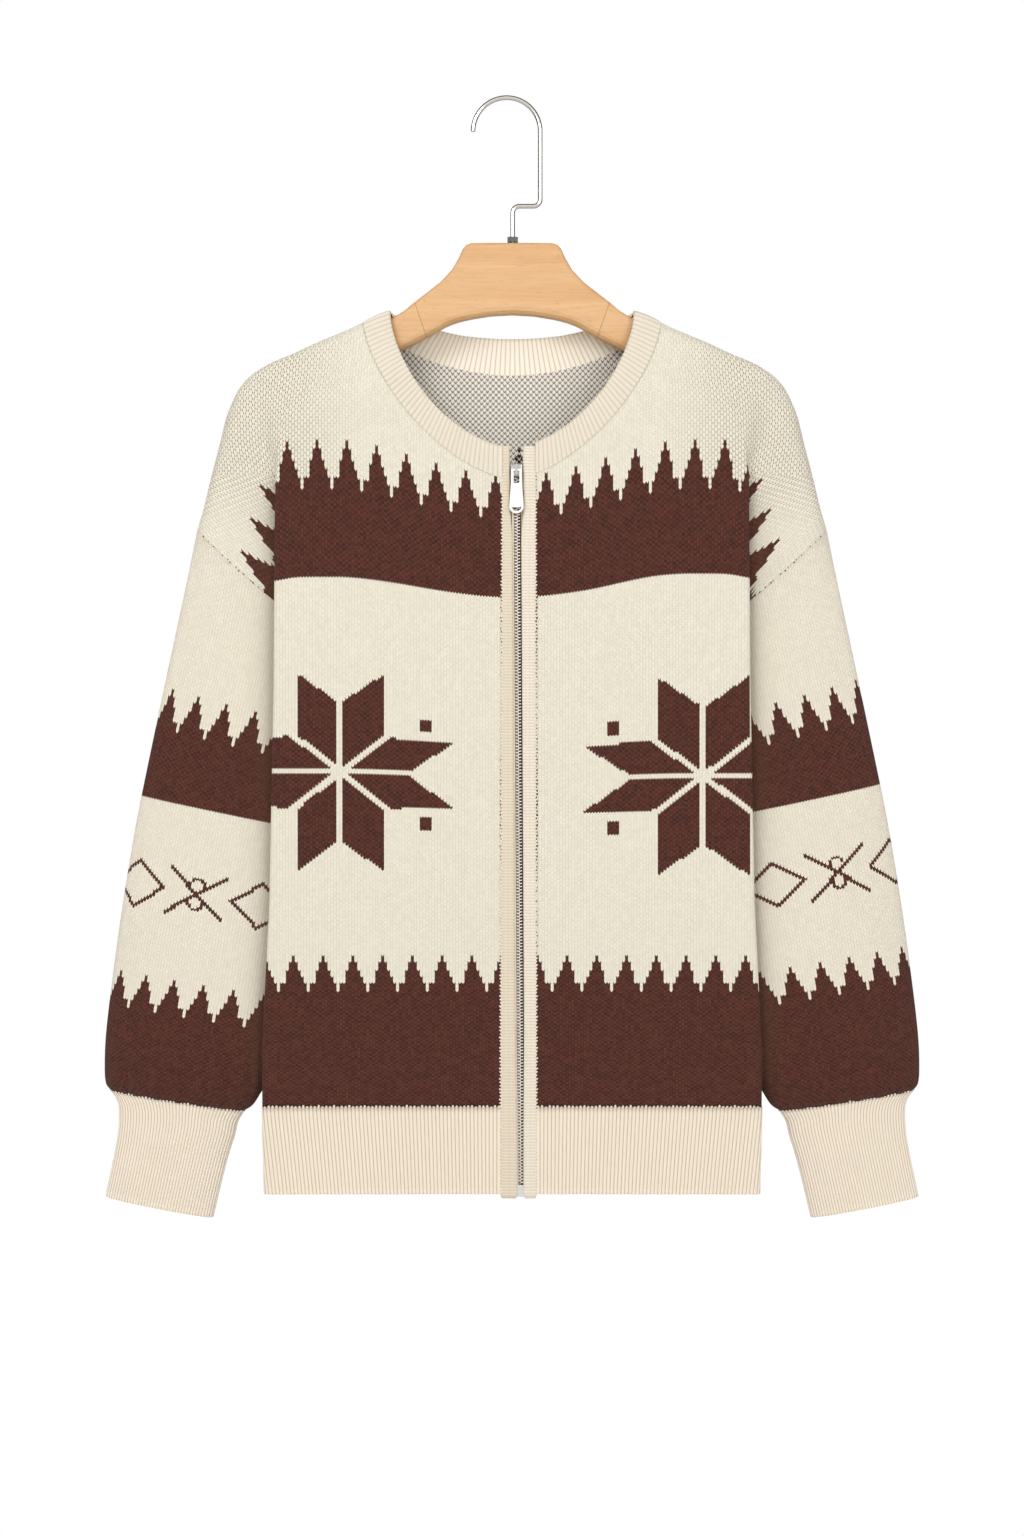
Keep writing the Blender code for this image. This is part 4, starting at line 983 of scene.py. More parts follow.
def sleeve_pattern(side):
    """Bands, diamonds and crosses of one sleeve, the last two in pixels."""
    at = SLEEVE_PATTERN["side"].index(side)
    top_tip, top_first, top_foot, middle, phase, low_tip, low_first = (
        values[at] for name, values in SLEEVE_PATTERN.items() if name != "side")

    def build(g, u, v, column, row):
        top = g.both(points_below(g, column, row, top_tip, top_first), g.more(v, top_foot))
        low = points_below(g, column, row, low_tip, low_first)
        period = DIAMOND_PERIOD * SLEEVE_PX
        shifted = g.sub(g.wrap(g.add(u, 0.5 * period - phase), period), 0.5 * period)
        p = g.mul(g.abs(shifted), 1.0 / SLEEVE_PX)
        q = g.abs(g.mul(g.sub(v, middle), 1.0 / SLEEVE_PX))
        edge = g.sub(g.mul(p, 1.0 / DIAMOND_HALF_WIDE), g.line(q, -1.0 / DIAMOND_HALF_HIGH, 1.0))
        diamond = g.less(g.abs(edge), DIAMOND_LINE)
        away = g.sub(0.5 * DIAMOND_PERIOD, p)
        cross = g.both(g.near(q, g.mul(away, CROSS_SLOPE), CROSS_LINE), g.less(away, CROSS_REACH))
        off_q = g.sub(q, RING_UP)
        ring = g.math("SQRT", g.add(g.mul(away, away), g.mul(off_q, off_q)))
        loop = g.both(g.near(ring, RING_RADIUS, RING_LINE), g.more(q, g.mul(away, CROSS_SLOPE)))
        return g.either(top, low, diamond, cross, loop)
    return build


def shoulder_reach(g):
    """How far the knit is pulled open over the shoulder's end, from 0 to 1."""
    x, z = g.split(g.object_place())[::2]
    return g.both(g.ramp(z, -0.335, -0.265), g.ramp(g.abs(x), 0.1, 0.17))


def knit_colour(g, brown, fleck, groove_shade, odd, up, leg, cream, stretched):
    """Outside of the jacquard: flecked yarn, painted shade in the grooves, and dark eyelets."""
    light = g.veil(cream, g.noise(14.0, 2.0), 0.3, dim(cream, 0.95))
    light = g.veil(light, fleck, 0.38, CREAM_SHADE)
    light = g.veil(light, groove_shade, 0.6, CREAM_SHADE)
    pit = g.both(odd, g.ramp(up, 0.5, 0.1), g.ramp(leg, 0.2, 0.8))
    if stretched:
        light = g.veil(light, pit, 0.42, linear(150, 122, 100))
        hole = g.both(odd, g.ramp(up, 0.75, 0.45), g.ramp(leg, 0.25, 0.55))
        light = g.veil(light, hole, g.mul(shoulder_reach(g), 0.9), linear(98, 66, 46))
    else:
        light = g.veil(light, pit, 0.5, linear(154, 126, 104))
    dark = g.veil(BROWN, fleck, 0.8, BROWN_LIGHT)
    dark = g.veil(dark, groove_shade, 0.75, BROWN_SHADE)
    dark = g.veil(dark, odd, g.line(up, -0.3, 0.3), linear(140, 84, 64))
    return g.colour(brown, light, dark)


def inside_colour(g, brown, fleck, groove_shade, odd, up):
    """Inside of the jacquard, where each yarn shows as dashes between the other's stitches; its grooves get
    painted shade.
    """
    dash = g.both(odd, g.between(up, 0.1, 0.64))
    light = g.veil(linear(252, 247, 234), groove_shade, 0.3, linear(196, 184, 166))
    dark = g.veil(linear(44, 20, 16), fleck, 0.5, linear(78, 46, 38))
    return g.colour(g.abs(g.sub(brown, dash)), light, dark)


def knit_material(name, pattern, cream, inner=False, stretched=False):
    """Jacquard knit; pattern builds the brown share from the stitch places."""
    g = Graph(name)
    middle_u, middle_v, column, row, up, leg = stitches(g, *g.places("knit"))
    brown = pattern(g, middle_u, middle_v, column, row)
    odd = g.wrap(g.add(column, row), 2.0)
    # Painted shade in the grooves: at the edges of each column, between a stitch's legs and between rows
    row_groove_shade = g.either(g.ramp(up, 0.3, 0.0), g.ramp(up, 0.85, 1.0, 0.0, 0.6))
    groove_shade = g.either(g.mul(g.ramp(leg, 0.62, 1.0), 0.9), g.mul(g.ramp(leg, 0.3, 0.0), 0.55), row_groove_shade)
    fleck = g.add(g.mul(g.noise(1300.0, 1.0), 0.35), g.mul(g.random(column, row), 0.65))
    if inner:
        colour = inside_colour(g, brown, fleck, groove_shade, odd, up)
    else:
        colour = knit_colour(g, brown, fleck, groove_shade, odd, up, leg, cream, stretched)
    colour = g.veil(colour, g.places("shade")[0], 0.34, linear(96, 66, 44))
    ridge = g.sub(1.0, g.math("POWER", g.abs(g.line(leg, 2.0, -1.0)), 2.0))
    course = g.math("SQRT", g.both(1.0, g.abs(g.mul(g.mul(up, g.sub(1.0, up)), 4.0))))
    g.bump(g.add(g.mul(ridge, course), g.mul(g.noise(900.0, 2.0), 0.25)), 0.6, 0.5)
    return g.finish(colour, 0.95, sheen=0.03)


def rib_material(name, pitch, crest, groove_shade=RIB_GROOVE_SHADE, depth=0.75, courses=1.0):
    """Rib knit: the first place runs across the ribs; the grooves between ribs and between rows are painted
    shade.
    """
    g = Graph(name)
    u, v = g.places("knit")
    leg = g.abs(g.sub(g.abs(g.line(g.math("FRACT", g.ratio(u, pitch)), 4.0, -2.0)), 1.0))
    row = g.math("FRACT", g.sub(g.ratio(v, RIB_COURSE), g.mul(leg, 0.6)))
    colour = g.veil(crest, g.noise(20.0), 0.3, dim(crest, 0.94))
    # Painted shade in the grooves between ribs, between a rib's legs and between rows
    colour = g.veil(colour, g.ramp(g.fold(u, pitch), 0.62, 0.98), depth, groove_shade)
    colour = g.veil(colour, g.ramp(leg, 0.25, 0.0), 0.12, groove_shade)
    colour = g.veil(colour, g.ramp(row, 0.25, 0.0), 0.16 * courses, groove_shade)
    stitch = g.mul(g.mul(row, g.sub(1.0, row)), 2.4 * courses)
    g.bump(g.add(stitch, g.mul(g.noise(900.0, 2.0), 0.2)), 0.35, 0.35)
    return g.finish(colour, 0.93, sheen=0.03)


def placket_material(name, crest, groove_shade):
    """Facing knit with level rows that show, their lines darkened as painted shade."""
    g = Graph(name)
    u, v = g.places("knit")
    line = g.ramp(g.fold(v, 2.2), 0.45, 0.95)
    colour = g.veil(crest, g.noise(60.0, 2.0), 0.5, dim(crest, 0.9))
    # Painted shade along the row lines and between the columns
    colour = g.veil(colour, line, 0.5, groove_shade)
    colour = g.veil(colour, g.ramp(g.fold(u, 1.6), 0.7, 1.0), 0.2, groove_shade)
    g.bump(g.add(g.sub(1.0, line), g.mul(g.noise(900.0, 2.0), 0.25)), 0.5, 0.4)
    return g.finish(colour, 0.93, sheen=0.03)


def wood_material(name):
    """Beech with level grain and short dark flecks."""
    g = Graph(name)
    grain = g.noise(1.0, 5.0, stretch=(7.0, 60.0, 150.0))
    fine = g.noise(1.0, 3.0, stretch=(45.0, 500.0, 620.0))
    fleck = g.noise(1.0, 1.0, stretch=(130.0, 500.0, 800.0))
    colour = g.colour(g.ramp(grain, 0.25, 0.75), linear(227, 183, 133), linear(218, 169, 117))
    colour = g.veil(colour, g.ramp(fine, 0.42, 0.66), 0.28, linear(205, 150, 98))
    colour = g.veil(colour, g.ramp(fleck, 0.64, 0.72), 0.32, linear(176, 120, 78))
    g.bump(fine, 0.08, 0.2)
    return g.finish(colour, 0.5, coat=0.05)


def metal_material(name, tint, roughness, metallic=1.0):
    """Brushed metal."""
    g = Graph(name)
    scratch = g.noise(1.0, 3.0, stretch=(900.0, 900.0, 120.0))
    colour = g.veil(tint, g.noise(120.0), 0.3, dim(tint, 0.85))
    g.bump(scratch, 0.03, 0.1)
    return g.finish(colour, g.line(scratch, 0.12, roughness - 0.06), metallic=metallic)


def tape_material(name):
    """Woven zip tape in herringbone."""
    g = Graph(name)
    x, z = g.split(g.object_place())[::2]
    zig = g.math("PINGPONG", g.mul(x, 1.0 / MM), 1.5)
    twill = g.math("FRACT", g.mul(g.add(g.mul(z, 1.0 / MM), zig), 1.4))
    colour = g.veil(linear(233, 221, 200), g.ramp(twill, 0.7, 1.0), 0.4, linear(196, 172, 145))
    g.bump(twill, 0.3, 0.2)
    return g.finish(colour, 0.85)


def thread_material(name, tint):
    """Twisted yarn."""
    g = Graph(name)
    twist = g.math("FRACT", g.mul(g.noise(400.0), 6.0))
    colour = g.veil(tint, twist, 0.25, dim(tint, 0.8))
    g.bump(twist, 0.3, 0.2)
    return g.finish(colour, 0.8)


# Panels

YOKE_ROWS = 56
LOWER_ROWS = 84
BACK_YOKE_ROWS = 44
BACK_LOWER_ROWS = 70
MIRROR = np.array([-1.0, 1.0, 1.0])
MIRROR_PLACES = np.array([-1.0, 1.0])
TURN_ROUND = np.array([1.0, -1.0, 1.0])


def sided(part, sign):
    """A grid made for +X, on the side that a sign gives."""
    return part * np.array([sign, 1.0, 1.0])


def both_halves(part, mirror=1.0):
    """A half grid with its mirror image before it."""
    return np.concatenate([part[:, :0:-1] * mirror, part], axis=1)


def knit_pair(name, pattern, cream, stretched):
    """Outer and inner look of one knitted piece."""
    outer = knit_material(name + "_knit", pattern, cream, stretched=stretched)
    inner = knit_material(name + "_inside", pattern, cream, inner=True)
    return [outer, inner]


def make_panels():
    for side, sign, first in (("left", 1.0, 1), ("right", -1.0, 5)):
        grid = panel_grid(side, YOKE_ROWS, LOWER_ROWS)
        places, corners = body_places(grid, YOKE_ROWS, first, **ARM_KNIT[side])
        maps = {"knit": places, "shade": fold_shade(grid)}
        looks = knit_pair("front_" + side, BODY_PATTERN[side], CREAM, True)
        obj = grid_object("front_%s_cloth" % side, sided(grid, sign), maps, looks, corners=corners)
        wear(obj, "front_" + side)
    grid = panel_grid("back", BACK_YOKE_ROWS, BACK_LOWER_ROWS)
    places, corners = body_places(grid, BACK_YOKE_ROWS, 5, sag=0.0)
    maps = {"knit": both_halves(places, MIRROR_PLACES), "shade": both_halves(fold_shade(grid))}
    corners = [
        (np.concatenate([mask[:, ::-1], mask], axis=1), both_halves(other, MIRROR_PLACES))
        for mask, other in corners
    ]
    looks = knit_pair("back", BODY_PATTERN["back"], CREAM, True)
    obj = grid_object("back_cloth", both_halves(grid, MIRROR) * TURN_ROUND, maps, looks, corners=corners)
    wear(obj, "back")


def ribbed_path(x, y, pitch, steps):
    """Even steps along a row, so that each rib gets the same number."""
    along = run_along(x, y)
    count = int(round(along[-1] / pitch)) * steps
    at = np.linspace(0.0, along[-1], count + 1)
    return np.interp(at, along, x), np.interp(at, along, y), at


HEM_PITCH = 2.8
HEM_STEPS = 6
HEM_RELIEF = 0.55
HEM_FADE_START = 178.0
HEM_FADE_LENGTH = 20.0
HEM_LOOPS_FROM = 20.0


def hem_grid(side):
    """Middle surface and places of a hem band, on the right half of the body."""
    rows = []
    places = []
    at = None
    for z in mix(RIB_SEAM - SEAM_GAP, HEM_EDGE, np.linspace(0.0, 1.0, 15)):
        x, y = body_path(z, front_edge(side, z))
        if at is None:
            at = ribbed_path(x, y, HEM_PITCH, HEM_STEPS)[2]
        along = run_along(x, y)
        x, y = (np.interp(at / at[-1] * along[-1], along, line) for line in (x, y))
        rows.append(np.stack([x, y, np.full_like(x, z)], axis=-1))
        places.append(np.stack([at, np.full_like(at, z)], axis=-1))
    return np.array(rows), np.array(places)


def make_hems():
    material = rib_material("hem_rib", HEM_PITCH, crest=linear(240, 230, 212), depth=0.95, courses=0.5)
    for side, sign in (("left", 1.0), ("right", -1.0), ("back", 1.0)):
        grid, places = hem_grid(side)
        wave = rib_wave(places[:, :, 0], HEM_PITCH)
        fade = 1.0 - smooth((places[:, :, 0] - HEM_FADE_START) / HEM_FADE_LENGTH)
        inner = grid - outward(grid, np.full_like(wave, WALL))
        grid = grid + outward(grid, HEM_RELIEF * wave * fade)
        if side == "back":
            grid, inner = (both_halves(part, MIRROR) * TURN_ROUND for part in (grid, inner))
            places = both_halves(places, MIRROR_PLACES)
            name, flat, carrier = "hem_back", (0.56, 0.062), "back_cloth"
        else:
            grid, inner = sided(grid, sign), sided(inner, sign)
            name, flat, carrier = "hem_front_" + side, (0.28, 0.062), "front_%s_cloth" % side
        obj = rib_object(name + "_rib", grid, inner, places, material)
        wear(obj, name)
        front = grid[0, HEM_STEPS // 2::HEM_STEPS]
        seam_loops(name + "_loops", front[np.abs(front[:, 1]) > HEM_LOOPS_FROM])


def seam_loops(name, points):
    """Cream loops that climb over the brown where the rib is linked on."""
    places = []
    for index, (x, y, z) in enumerate(points):
        rise = 0.9 + 0.5 * math.sin(index * 2.3) * math.sin(index * 0.7)
        places.append((x, y, z + 0.5 * rise, 1.0, 0.6, rise, 0.3 * math.sin(index * 1.3)))
    beads(name, places, LOOP_THREAD)


def rib_wave(places, pitch):
    """Rounded ribs with narrow grooves between them, from 0 to 1."""
    return 1.0 - np.abs(np.cos(math.pi * places / pitch)) ** 3.0


def outward(grid, rise):
    """Steps outwards, level, by a rise at each place of a grid."""
    across = np.gradient(grid, axis=1)
    normal = np.stack([across[:, :, 1], -across[:, :, 0], np.zeros_like(rise)], axis=-1)
    normal /= np.maximum(np.linalg.norm(normal, axis=-1, keepdims=True), 1e-9)
    return normal * rise[:, :, None]


def neck_lines():
    """Seam and free edge of the neckband, from the right front round the back to the left."""
    seam = []
    free = []
    for side, sign in (("right", -1.0), ("left", 1.0)):
        share = np.linspace(0.0, 1.0, 160)
        edge = NECK_EDGE[side]
        seam_x, seam_z = neck_point(side, share)
        free_x, free_z = front_neck(share, edge, COLLAR_HALF_WIDTH, COLLAR_RIDGE,
                                    COLLAR_FRONT_DROP, COLLAR_FRONT_POWER)
        seam.append(np.stack([sign * seam_x, np.full_like(seam_x, -1.0), seam_z], axis=-1))
        free.append(np.stack([sign * free_x, np.full_like(free_x, -1.0), free_z], axis=-1))
    share = np.linspace(-1.0, 1.0, 240)[1:-1]
    seam_x, seam_z = back_neck(np.abs(share), NECK_HALF_WIDTH, NECK_RIDGE, NECK_BACK_DROP)
    free_x, free_z = back_neck(np.abs(share), COLLAR_HALF_WIDTH, COLLAR_RIDGE, COLLAR_BACK_DROP)
    sign = np.sign(share)
    back_seam = np.stack([sign * seam_x, np.ones_like(seam_x), seam_z], axis=-1)
    back_free = np.stack([sign * free_x, np.ones_like(free_x), free_z], axis=-1)
    seam = np.concatenate([seam[0], back_seam, seam[1][::-1]])
    free = np.concatenate([free[0], back_free, free[1][::-1]])
    return seam, free


NECK_PITCH = 3.5
NECK_RELIEF = 0.55
NECK_STEPS = 7
NECK_ROWS = 13
NECK_EDGE_GAP = 2.0
NECK_ROLL = 0.7
NECK_LAP = 0.7
NECK_RAISED = 0.15


def make_neckband():
    seam, free = neck_lines()
    middle = 0.5 * (seam + free)
    along = run_along(middle[:, 0], middle[:, 2])
    count = int(round(along[-1] / NECK_PITCH)) * NECK_STEPS
    at = np.linspace(0.0, along[-1], count + 1)
    seam, free = (
        np.stack([np.interp(at, along, line[:, axis]) for axis in range(3)], axis=-1)
        for line in (seam, free)
    )
    rows = []
    places = []
    shares = np.linspace(0.0, 1.0, NECK_ROWS)
    length = np.linalg.norm((seam - free)[:, [0, 2]], axis=-1)
    for share in shares:
        part = mix(-NECK_LAP / length, 1.0 - NECK_EDGE_GAP / length, share)
        x, z = (mix(seam[:, axis], free[:, axis], part) for axis in (0, 2))
        side = np.clip(mix(seam[:, 1], free[:, 1], 0.5), -1.0, 1.0)
        y = side * np.maximum(cloth_depth(np.abs(x), z), 0.0)
        rows.append(np.stack([x, y, z], axis=-1))
        places.append(np.stack([at, length * share], axis=-1))
    grid = np.array(rows)
    places = np.array(places)
    normal = grid_normals(grid)
    on_front = normal[NECK_ROWS // 2, 40, 1]
    normal = normal * (-1.0 if on_front > 0 else 1.0)
    wave = rib_wave(places[:, :, 0], NECK_PITCH)
    edge = np.sin(math.pi * shares)[:, None]
    ends = np.minimum(np.arange(count + 1), count - np.arange(count + 1)) / (2.0 * NECK_STEPS)
    rise = NECK_RELIEF * wave * smooth(ends)[None, :] + NECK_ROLL * edge ** 0.6 + NECK_RAISED
    inner = grid - normal * (WALL - NECK_ROLL * edge)[:, :, None]
    grid = grid + normal * rise[:, :, None]
    outside = rib_material("neck_rib", NECK_PITCH, linear(231, 223, 205), linear(198, 168, 139), depth=0.62)
    # A brighter copy of the rib's look: painted light for the back's inner faces, which lie in shade
    inside = rib_material("neck_rib_inside_painted_light", NECK_PITCH, linear(255, 248, 231), linear(206, 172, 140))
    obj = rib_object("neckband_rib", grid, inner, places, outside)
    obj.data.materials.append(inside)
    # The back's inner faces take the brighter copy as painted light
    for polygon in obj.data.polygons:
        if polygon.center.y > 0.0 and polygon.normal.y < -0.3:
            polygon.material_index = 1
    wear(obj, "neckband")


# Sleeves and cuffs

def table_at(table, column, at):
    """A column of a ring table between its rings, on a smooth curve."""
    values = np.array(table[column], float)
    keys = np.arange(len(values), dtype=float)
    index = int(min(max(math.floor(at), 0), len(values) - 2))
    part = at - index
    return float(curve_at(values, np.gradient(values, keys), index, part))


RING_POWER = 2.6


def half_ring(table, at, shares):
    """Front half of a flattened tube's ring, from its outer to its inner edge."""
    outer_x, outer_z, inner_x, inner_z, half_depth, sag = (table_at(table, column, at) for column in table)
    span_x = inner_x - outer_x
    span_z = inner_z - outer_z
    length = math.hypot(span_x, span_z)
    sag = sag * np.sin(math.pi * shares)
    x = outer_x + span_x * shares - sag * span_z / length
    z = outer_z + span_z * shares + sag * span_x / length
    bulge = np.abs(2.0 * shares - 1.0) ** RING_POWER
    y = half_depth * np.maximum(0.0, 1.0 - bulge) ** (1.0 / RING_POWER)
    return np.stack([x, -y, z], axis=-1)


def ring_shares(count):
    """Steps across a flattened tube, closer together at its two edges."""
    angle = np.linspace(0.0, math.pi, count)
    return 0.5 - 0.5 * np.cos(angle)


def tube_grid(table, rows, shares, first=None):
    result = []
    for at in rows:
        half = half_ring(table, at, shares)
        if first is not None and at < 1.0:
            half = mix(first, half, float(smooth(at)))
        back = half[-2:0:-1] * np.array([1.0, -1.0, 1.0])
        result.append(np.concatenate([half, back]))
    return np.array(result)


def sleeve_lean(z):
    """How much the knitted rows of the sleeve fall towards the body."""
    return np.interp(-z, [320.0, 445.0, 520.0, 650.0, 760.0], [0.62, 0.27, 0.21, 0.165, 0.155])


SLEEVE_MIDDLE = 231.0
SLEEVE_HALF_DEPTH = 13.0
SLEEVE_ROWS = 74
PUFF_ROWS = 30


def sleeve_base(shares):
    """Rings of the right sleeve from its seam on the shoulder, before folds."""
    x, z = armhole_point(shares)
    y = arm_depth(x, z) * underarm_ease(z)
    y[0] = 0.0
    y[-1] = 0.0
    span_x = UNDERARM[0] - SHOULDER_POINT[0]
    span_z = UNDERARM[1] - SHOULDER_POINT[1]
    length = math.hypot(span_x, span_z)
    first = np.stack([x - SEAM_GAP * span_z / length, -y, z + SEAM_GAP * span_x / length], axis=-1)
    rows = np.concatenate([np.linspace(0.0, 7.0, SLEEVE_ROWS)[:-1], np.linspace(7.0, 10.0, PUFF_ROWS)])
    return tube_grid(SLEEVE, rows, shares, first)


def sleeve_places(base, half):
    """Pattern places of the sleeve: across from its outer edge, and height."""
    up = base[:, :, 2] - (base[:, :, 0] - SLEEVE_MIDDLE) * sleeve_lean(base[:, :, 2])
    edge_x = np.interp(-up, -up[:, 0], base[:, 0, 0])
    across = edge_x - base[:, :, 0] + 0.6 * np.abs(base[:, :, 1])
    across = np.where(np.arange(base.shape[1])[None, :] < half, across, -across)
    return np.stack([across, up], axis=-1)


def fold_sleeve(base, sign):
    """The sleeve with its soft folds and the ripples of the puff above the cuff."""
    grid = base.copy()
    facing = np.sign(grid[:, :, 1])
    deep = np.clip(np.abs(grid[:, :, 1]) / SLEEVE_HALF_DEPTH, 0.0, 1.0) ** 2
    rise = folds(SLEEVE_FOLDS, grid[:, :, 0], grid[:, :, 2], 0.0 if sign > 0 else 5.0)
    rows = np.arange(len(grid))
    ends = smooth(rows / 6.0) * smooth((len(grid) - 1 - rows) / 4.0)
    grid[:, :, 1] += facing * rise * deep * ends[:, None]
    puff = smooth((-grid[:, :, 2] - 690.0) / 30.0) * smooth((752.0 + grid[:, :, 2]) / 14.0)
    ripple = 0.8 * np.sin(grid[:, :, 0] * 0.42 + sign) + 0.5 * np.sin(grid[:, :, 0] * 0.77 + 1.3)
    grid[:, :, 1] += facing * ripple * puff * deep
    return grid


def make_sleeves():
    shares = ring_shares(58)
    base = sleeve_base(shares)
    places = sleeve_places(base, len(shares))
    for side, sign in (("left", 1.0), ("right", -1.0)):
        grid = fold_sleeve(base, sign)
        fold = read(BODY, "fold", "z", grid[:, :, 2])
        away = (grid[:, :, 0] - fold - SLEEVE_SHADE_FROM) / SLEEVE_SHADE_WIDTH
        beside = np.exp(-np.clip(away, 0.0, None) ** SHADE_POWER) * (away > -1.5)
        maps = {"knit": places, "shade": np.stack([beside, np.zeros_like(beside)], axis=-1)}
        looks = knit_pair("sleeve_" + side, sleeve_pattern(side), SLEEVE_CREAM, False)
        obj = grid_object("sleeve_%s_cloth" % side, sided(grid, sign), maps, looks, closed=True,
                          seam_at=len(shares) - 1)
        wear(obj, "sleeve_" + side)
        make_cuff(side, sign)


CUFF_PITCH = 2.6
CUFF_RELIEF = 0.6
CUFF_STEPS = 6
CUFF_ROWS = 24
CUFF_LENGTH = 72.0
CUFF_CURL = 0.5
CUFF_SUNK = 0.3


def make_cuff(side, sign):
    fine = ring_shares(200)
    lean = np.array([CUFF["outer_z"][0] - CUFF["inner_z"][0], 0.0, CUFF["inner_x"][0] - CUFF["outer_x"][0]])
    rows = []
    inside = []
    places = []
    base = None
    for down in np.linspace(0.0, 1.0, CUFF_ROWS):
        ring = tube_grid(CUFF, [down * (len(CUFF["sag"]) - 1)], fine)[0]
        closed = np.concatenate([ring, ring[:1]])
        along = np.concatenate([[0.0], np.cumsum(np.linalg.norm(np.diff(closed, axis=0), axis=-1))])
        if base is None:
            ribs = int(round(along[-1] / CUFF_PITCH))
            base = np.arange(ribs * CUFF_STEPS) / (ribs * CUFF_STEPS)
        at = base * along[-1]
        points = np.stack([np.interp(at, along, closed[:, axis]) for axis in range(3)], axis=-1)
        normal = np.cross(np.roll(points, -1, axis=0) - np.roll(points, 1, axis=0), lean)
        normal /= np.linalg.norm(normal, axis=-1, keepdims=True)
        if normal[len(normal) // 4, 1] > 0:
            normal = -normal
        wave = rib_wave(base * ribs, 1.0)
        curl = CUFF_CURL * math.sin(math.pi * down) - CUFF_SUNK
        rows.append(points + normal * (CUFF_RELIEF * wave + curl)[:, None])
        inside.append(points - normal * (WALL - CUFF_SUNK - curl))
        places.append(np.stack([base * ribs * CUFF_PITCH, np.full(len(base), -down * CUFF_LENGTH)], axis=-1))
    grid, inner = (sided(np.array(part), sign) for part in (rows, inside))
    crest = linear(240, 231, 214)
    material = rib_material("cuff_%s_knit" % side, CUFF_PITCH, crest, depth=0.95, courses=0.2)
    obj = rib_object("cuff_%s_rib" % side, grid, inner, np.array(places), material, closed=True)
    wear(obj, "cuff_" + side)
    loops = grid[0, CUFF_STEPS // 2::CUFF_STEPS]
    seam_loops("cuff_%s_loops" % side, loops + np.sign(loops[:, 1:2]) * np.array([0.0, 0.1, 0.0]))


# Zip

def zip_x(z):
    return mix(ZIP_TOP[0], ZIP_FOOT[0], (ZIP_TOP[1] - z) / (ZIP_TOP[1] - ZIP_FOOT[1]))


def front_face(z):
    return float(read(BODY, "dip", "z", z) - read(BODY, "depth", "z", z))


def parting_at(z):
    """Half the gap between the plackets."""
    close = float(smooth((PARTING_TOP - z) / (PARTING_TOP - PARTING_FOOT)))
    foot = float(smooth((-z - 660.0) / 140.0))
    return mix(PARTING_WIDE, PARTING_NARROW, close) - PARTING_FOOT_CLOSE * foot


PLACKET_ROWS = 230
PLACKET_RING = 22
PLACKET_ROUND = 13.0
PLACKET_RAISED = 0.8
PLACKET_HALF_DEPTH = 1.45
PLACKET_SQUARE = 0.55
PLACKET_FLAT = 0.7
# The rolled edge beside the zip, in half widths and half depths of the placket
ROLL_HEIGHT = 0.45
ROLL_AT = 0.75
ROLL_WIDTH = 0.3


def placket_ring(side, z, ends):
    """Flat rolled section of a placket, thinner towards its two ends."""
    sign = 1.0 if side == "left" else -1.0
    zip_side = zip_x(z) + sign * parting_at(z)
    cloth_side = sign * (front_edge(side, z) + PLACKET_LAP)
    middle = 0.5 * (zip_side + cloth_side)
    half = 0.5 * abs(zip_side - cloth_side)
    wander = 0.25 * math.sin(0.043 * z + (0.7 if side == "left" else 2.1)) + 0.15 * math.sin(0.11 * z)
    angle = np.linspace(0.0, 2.0 * math.pi, PLACKET_RING, endpoint=False)
    across = np.sign(np.cos(angle)) * np.abs(np.cos(angle)) ** PLACKET_SQUARE
    depth = np.sign(np.sin(angle)) * np.abs(np.sin(angle)) ** PLACKET_FLAT
    roll = ROLL_HEIGHT * np.exp(-((across + ROLL_AT * sign) / ROLL_WIDTH) ** 2)
    x = middle + across * half * ends
    lift = (PLACKET_HALF_DEPTH * ends) * (depth + roll * (depth > 0))
    y = front_face(z) + PLACKET_RAISED - lift + wander * 0.3
    places = np.stack([PLACKET_ROUND * (1.0 - np.abs(angle / math.pi - 1.0)), np.full_like(x, z)], axis=-1)
    return np.stack([x, y, np.full_like(x, z)], axis=-1), places


def make_plackets():
    heights = np.linspace(PLACKET_TOP, PLACKET_FOOT, PLACKET_ROWS)
    for side in ("left", "right"):
        rows = []
        for index, z in enumerate(heights):
            ends = min(1.0, 0.8 + min(index, PLACKET_ROWS - 1 - index) / 6.0)
            rows.append(placket_ring(side, z, ends))
        grid, places = (np.array(part)[:, ::-1] for part in zip(*rows))
        obj = grid_object("placket_%s_cloth" % side, grid, {"knit": places}, [PLACKET_KNIT[side]],
                          closed=True, wall=0.0)
        cap_ends(obj, PLACKET_RING)
        wear(obj, "placket_" + side)


def face_outwards(obj, new_faces=()):
    """Turn every face outwards, after closing holes with faces of given points."""
    work = bmesh.new()
    work.from_mesh(obj.data)
    work.verts.ensure_lookup_table()
    for face in new_faces:
        work.faces.new([work.verts[index] for index in face])
    bmesh.ops.recalc_face_normals(work, faces=work.faces)
    work.to_mesh(obj.data)
    work.free()


def cap_ends(obj, count):
    """Close the two ends of a tube grid."""
    total = len(obj.data.vertices)
    face_outwards(obj, (range(count), range(total - 1, total - 1 - count, -1)))


def solid_from(name, points, faces, material):
    mesh = bpy.data.meshes.new(name)
    mesh.from_pydata((np.array(points) * MM).tolist(), [], faces)
    mesh.materials.append(material)
    mesh.update()
    return placed(name, mesh)


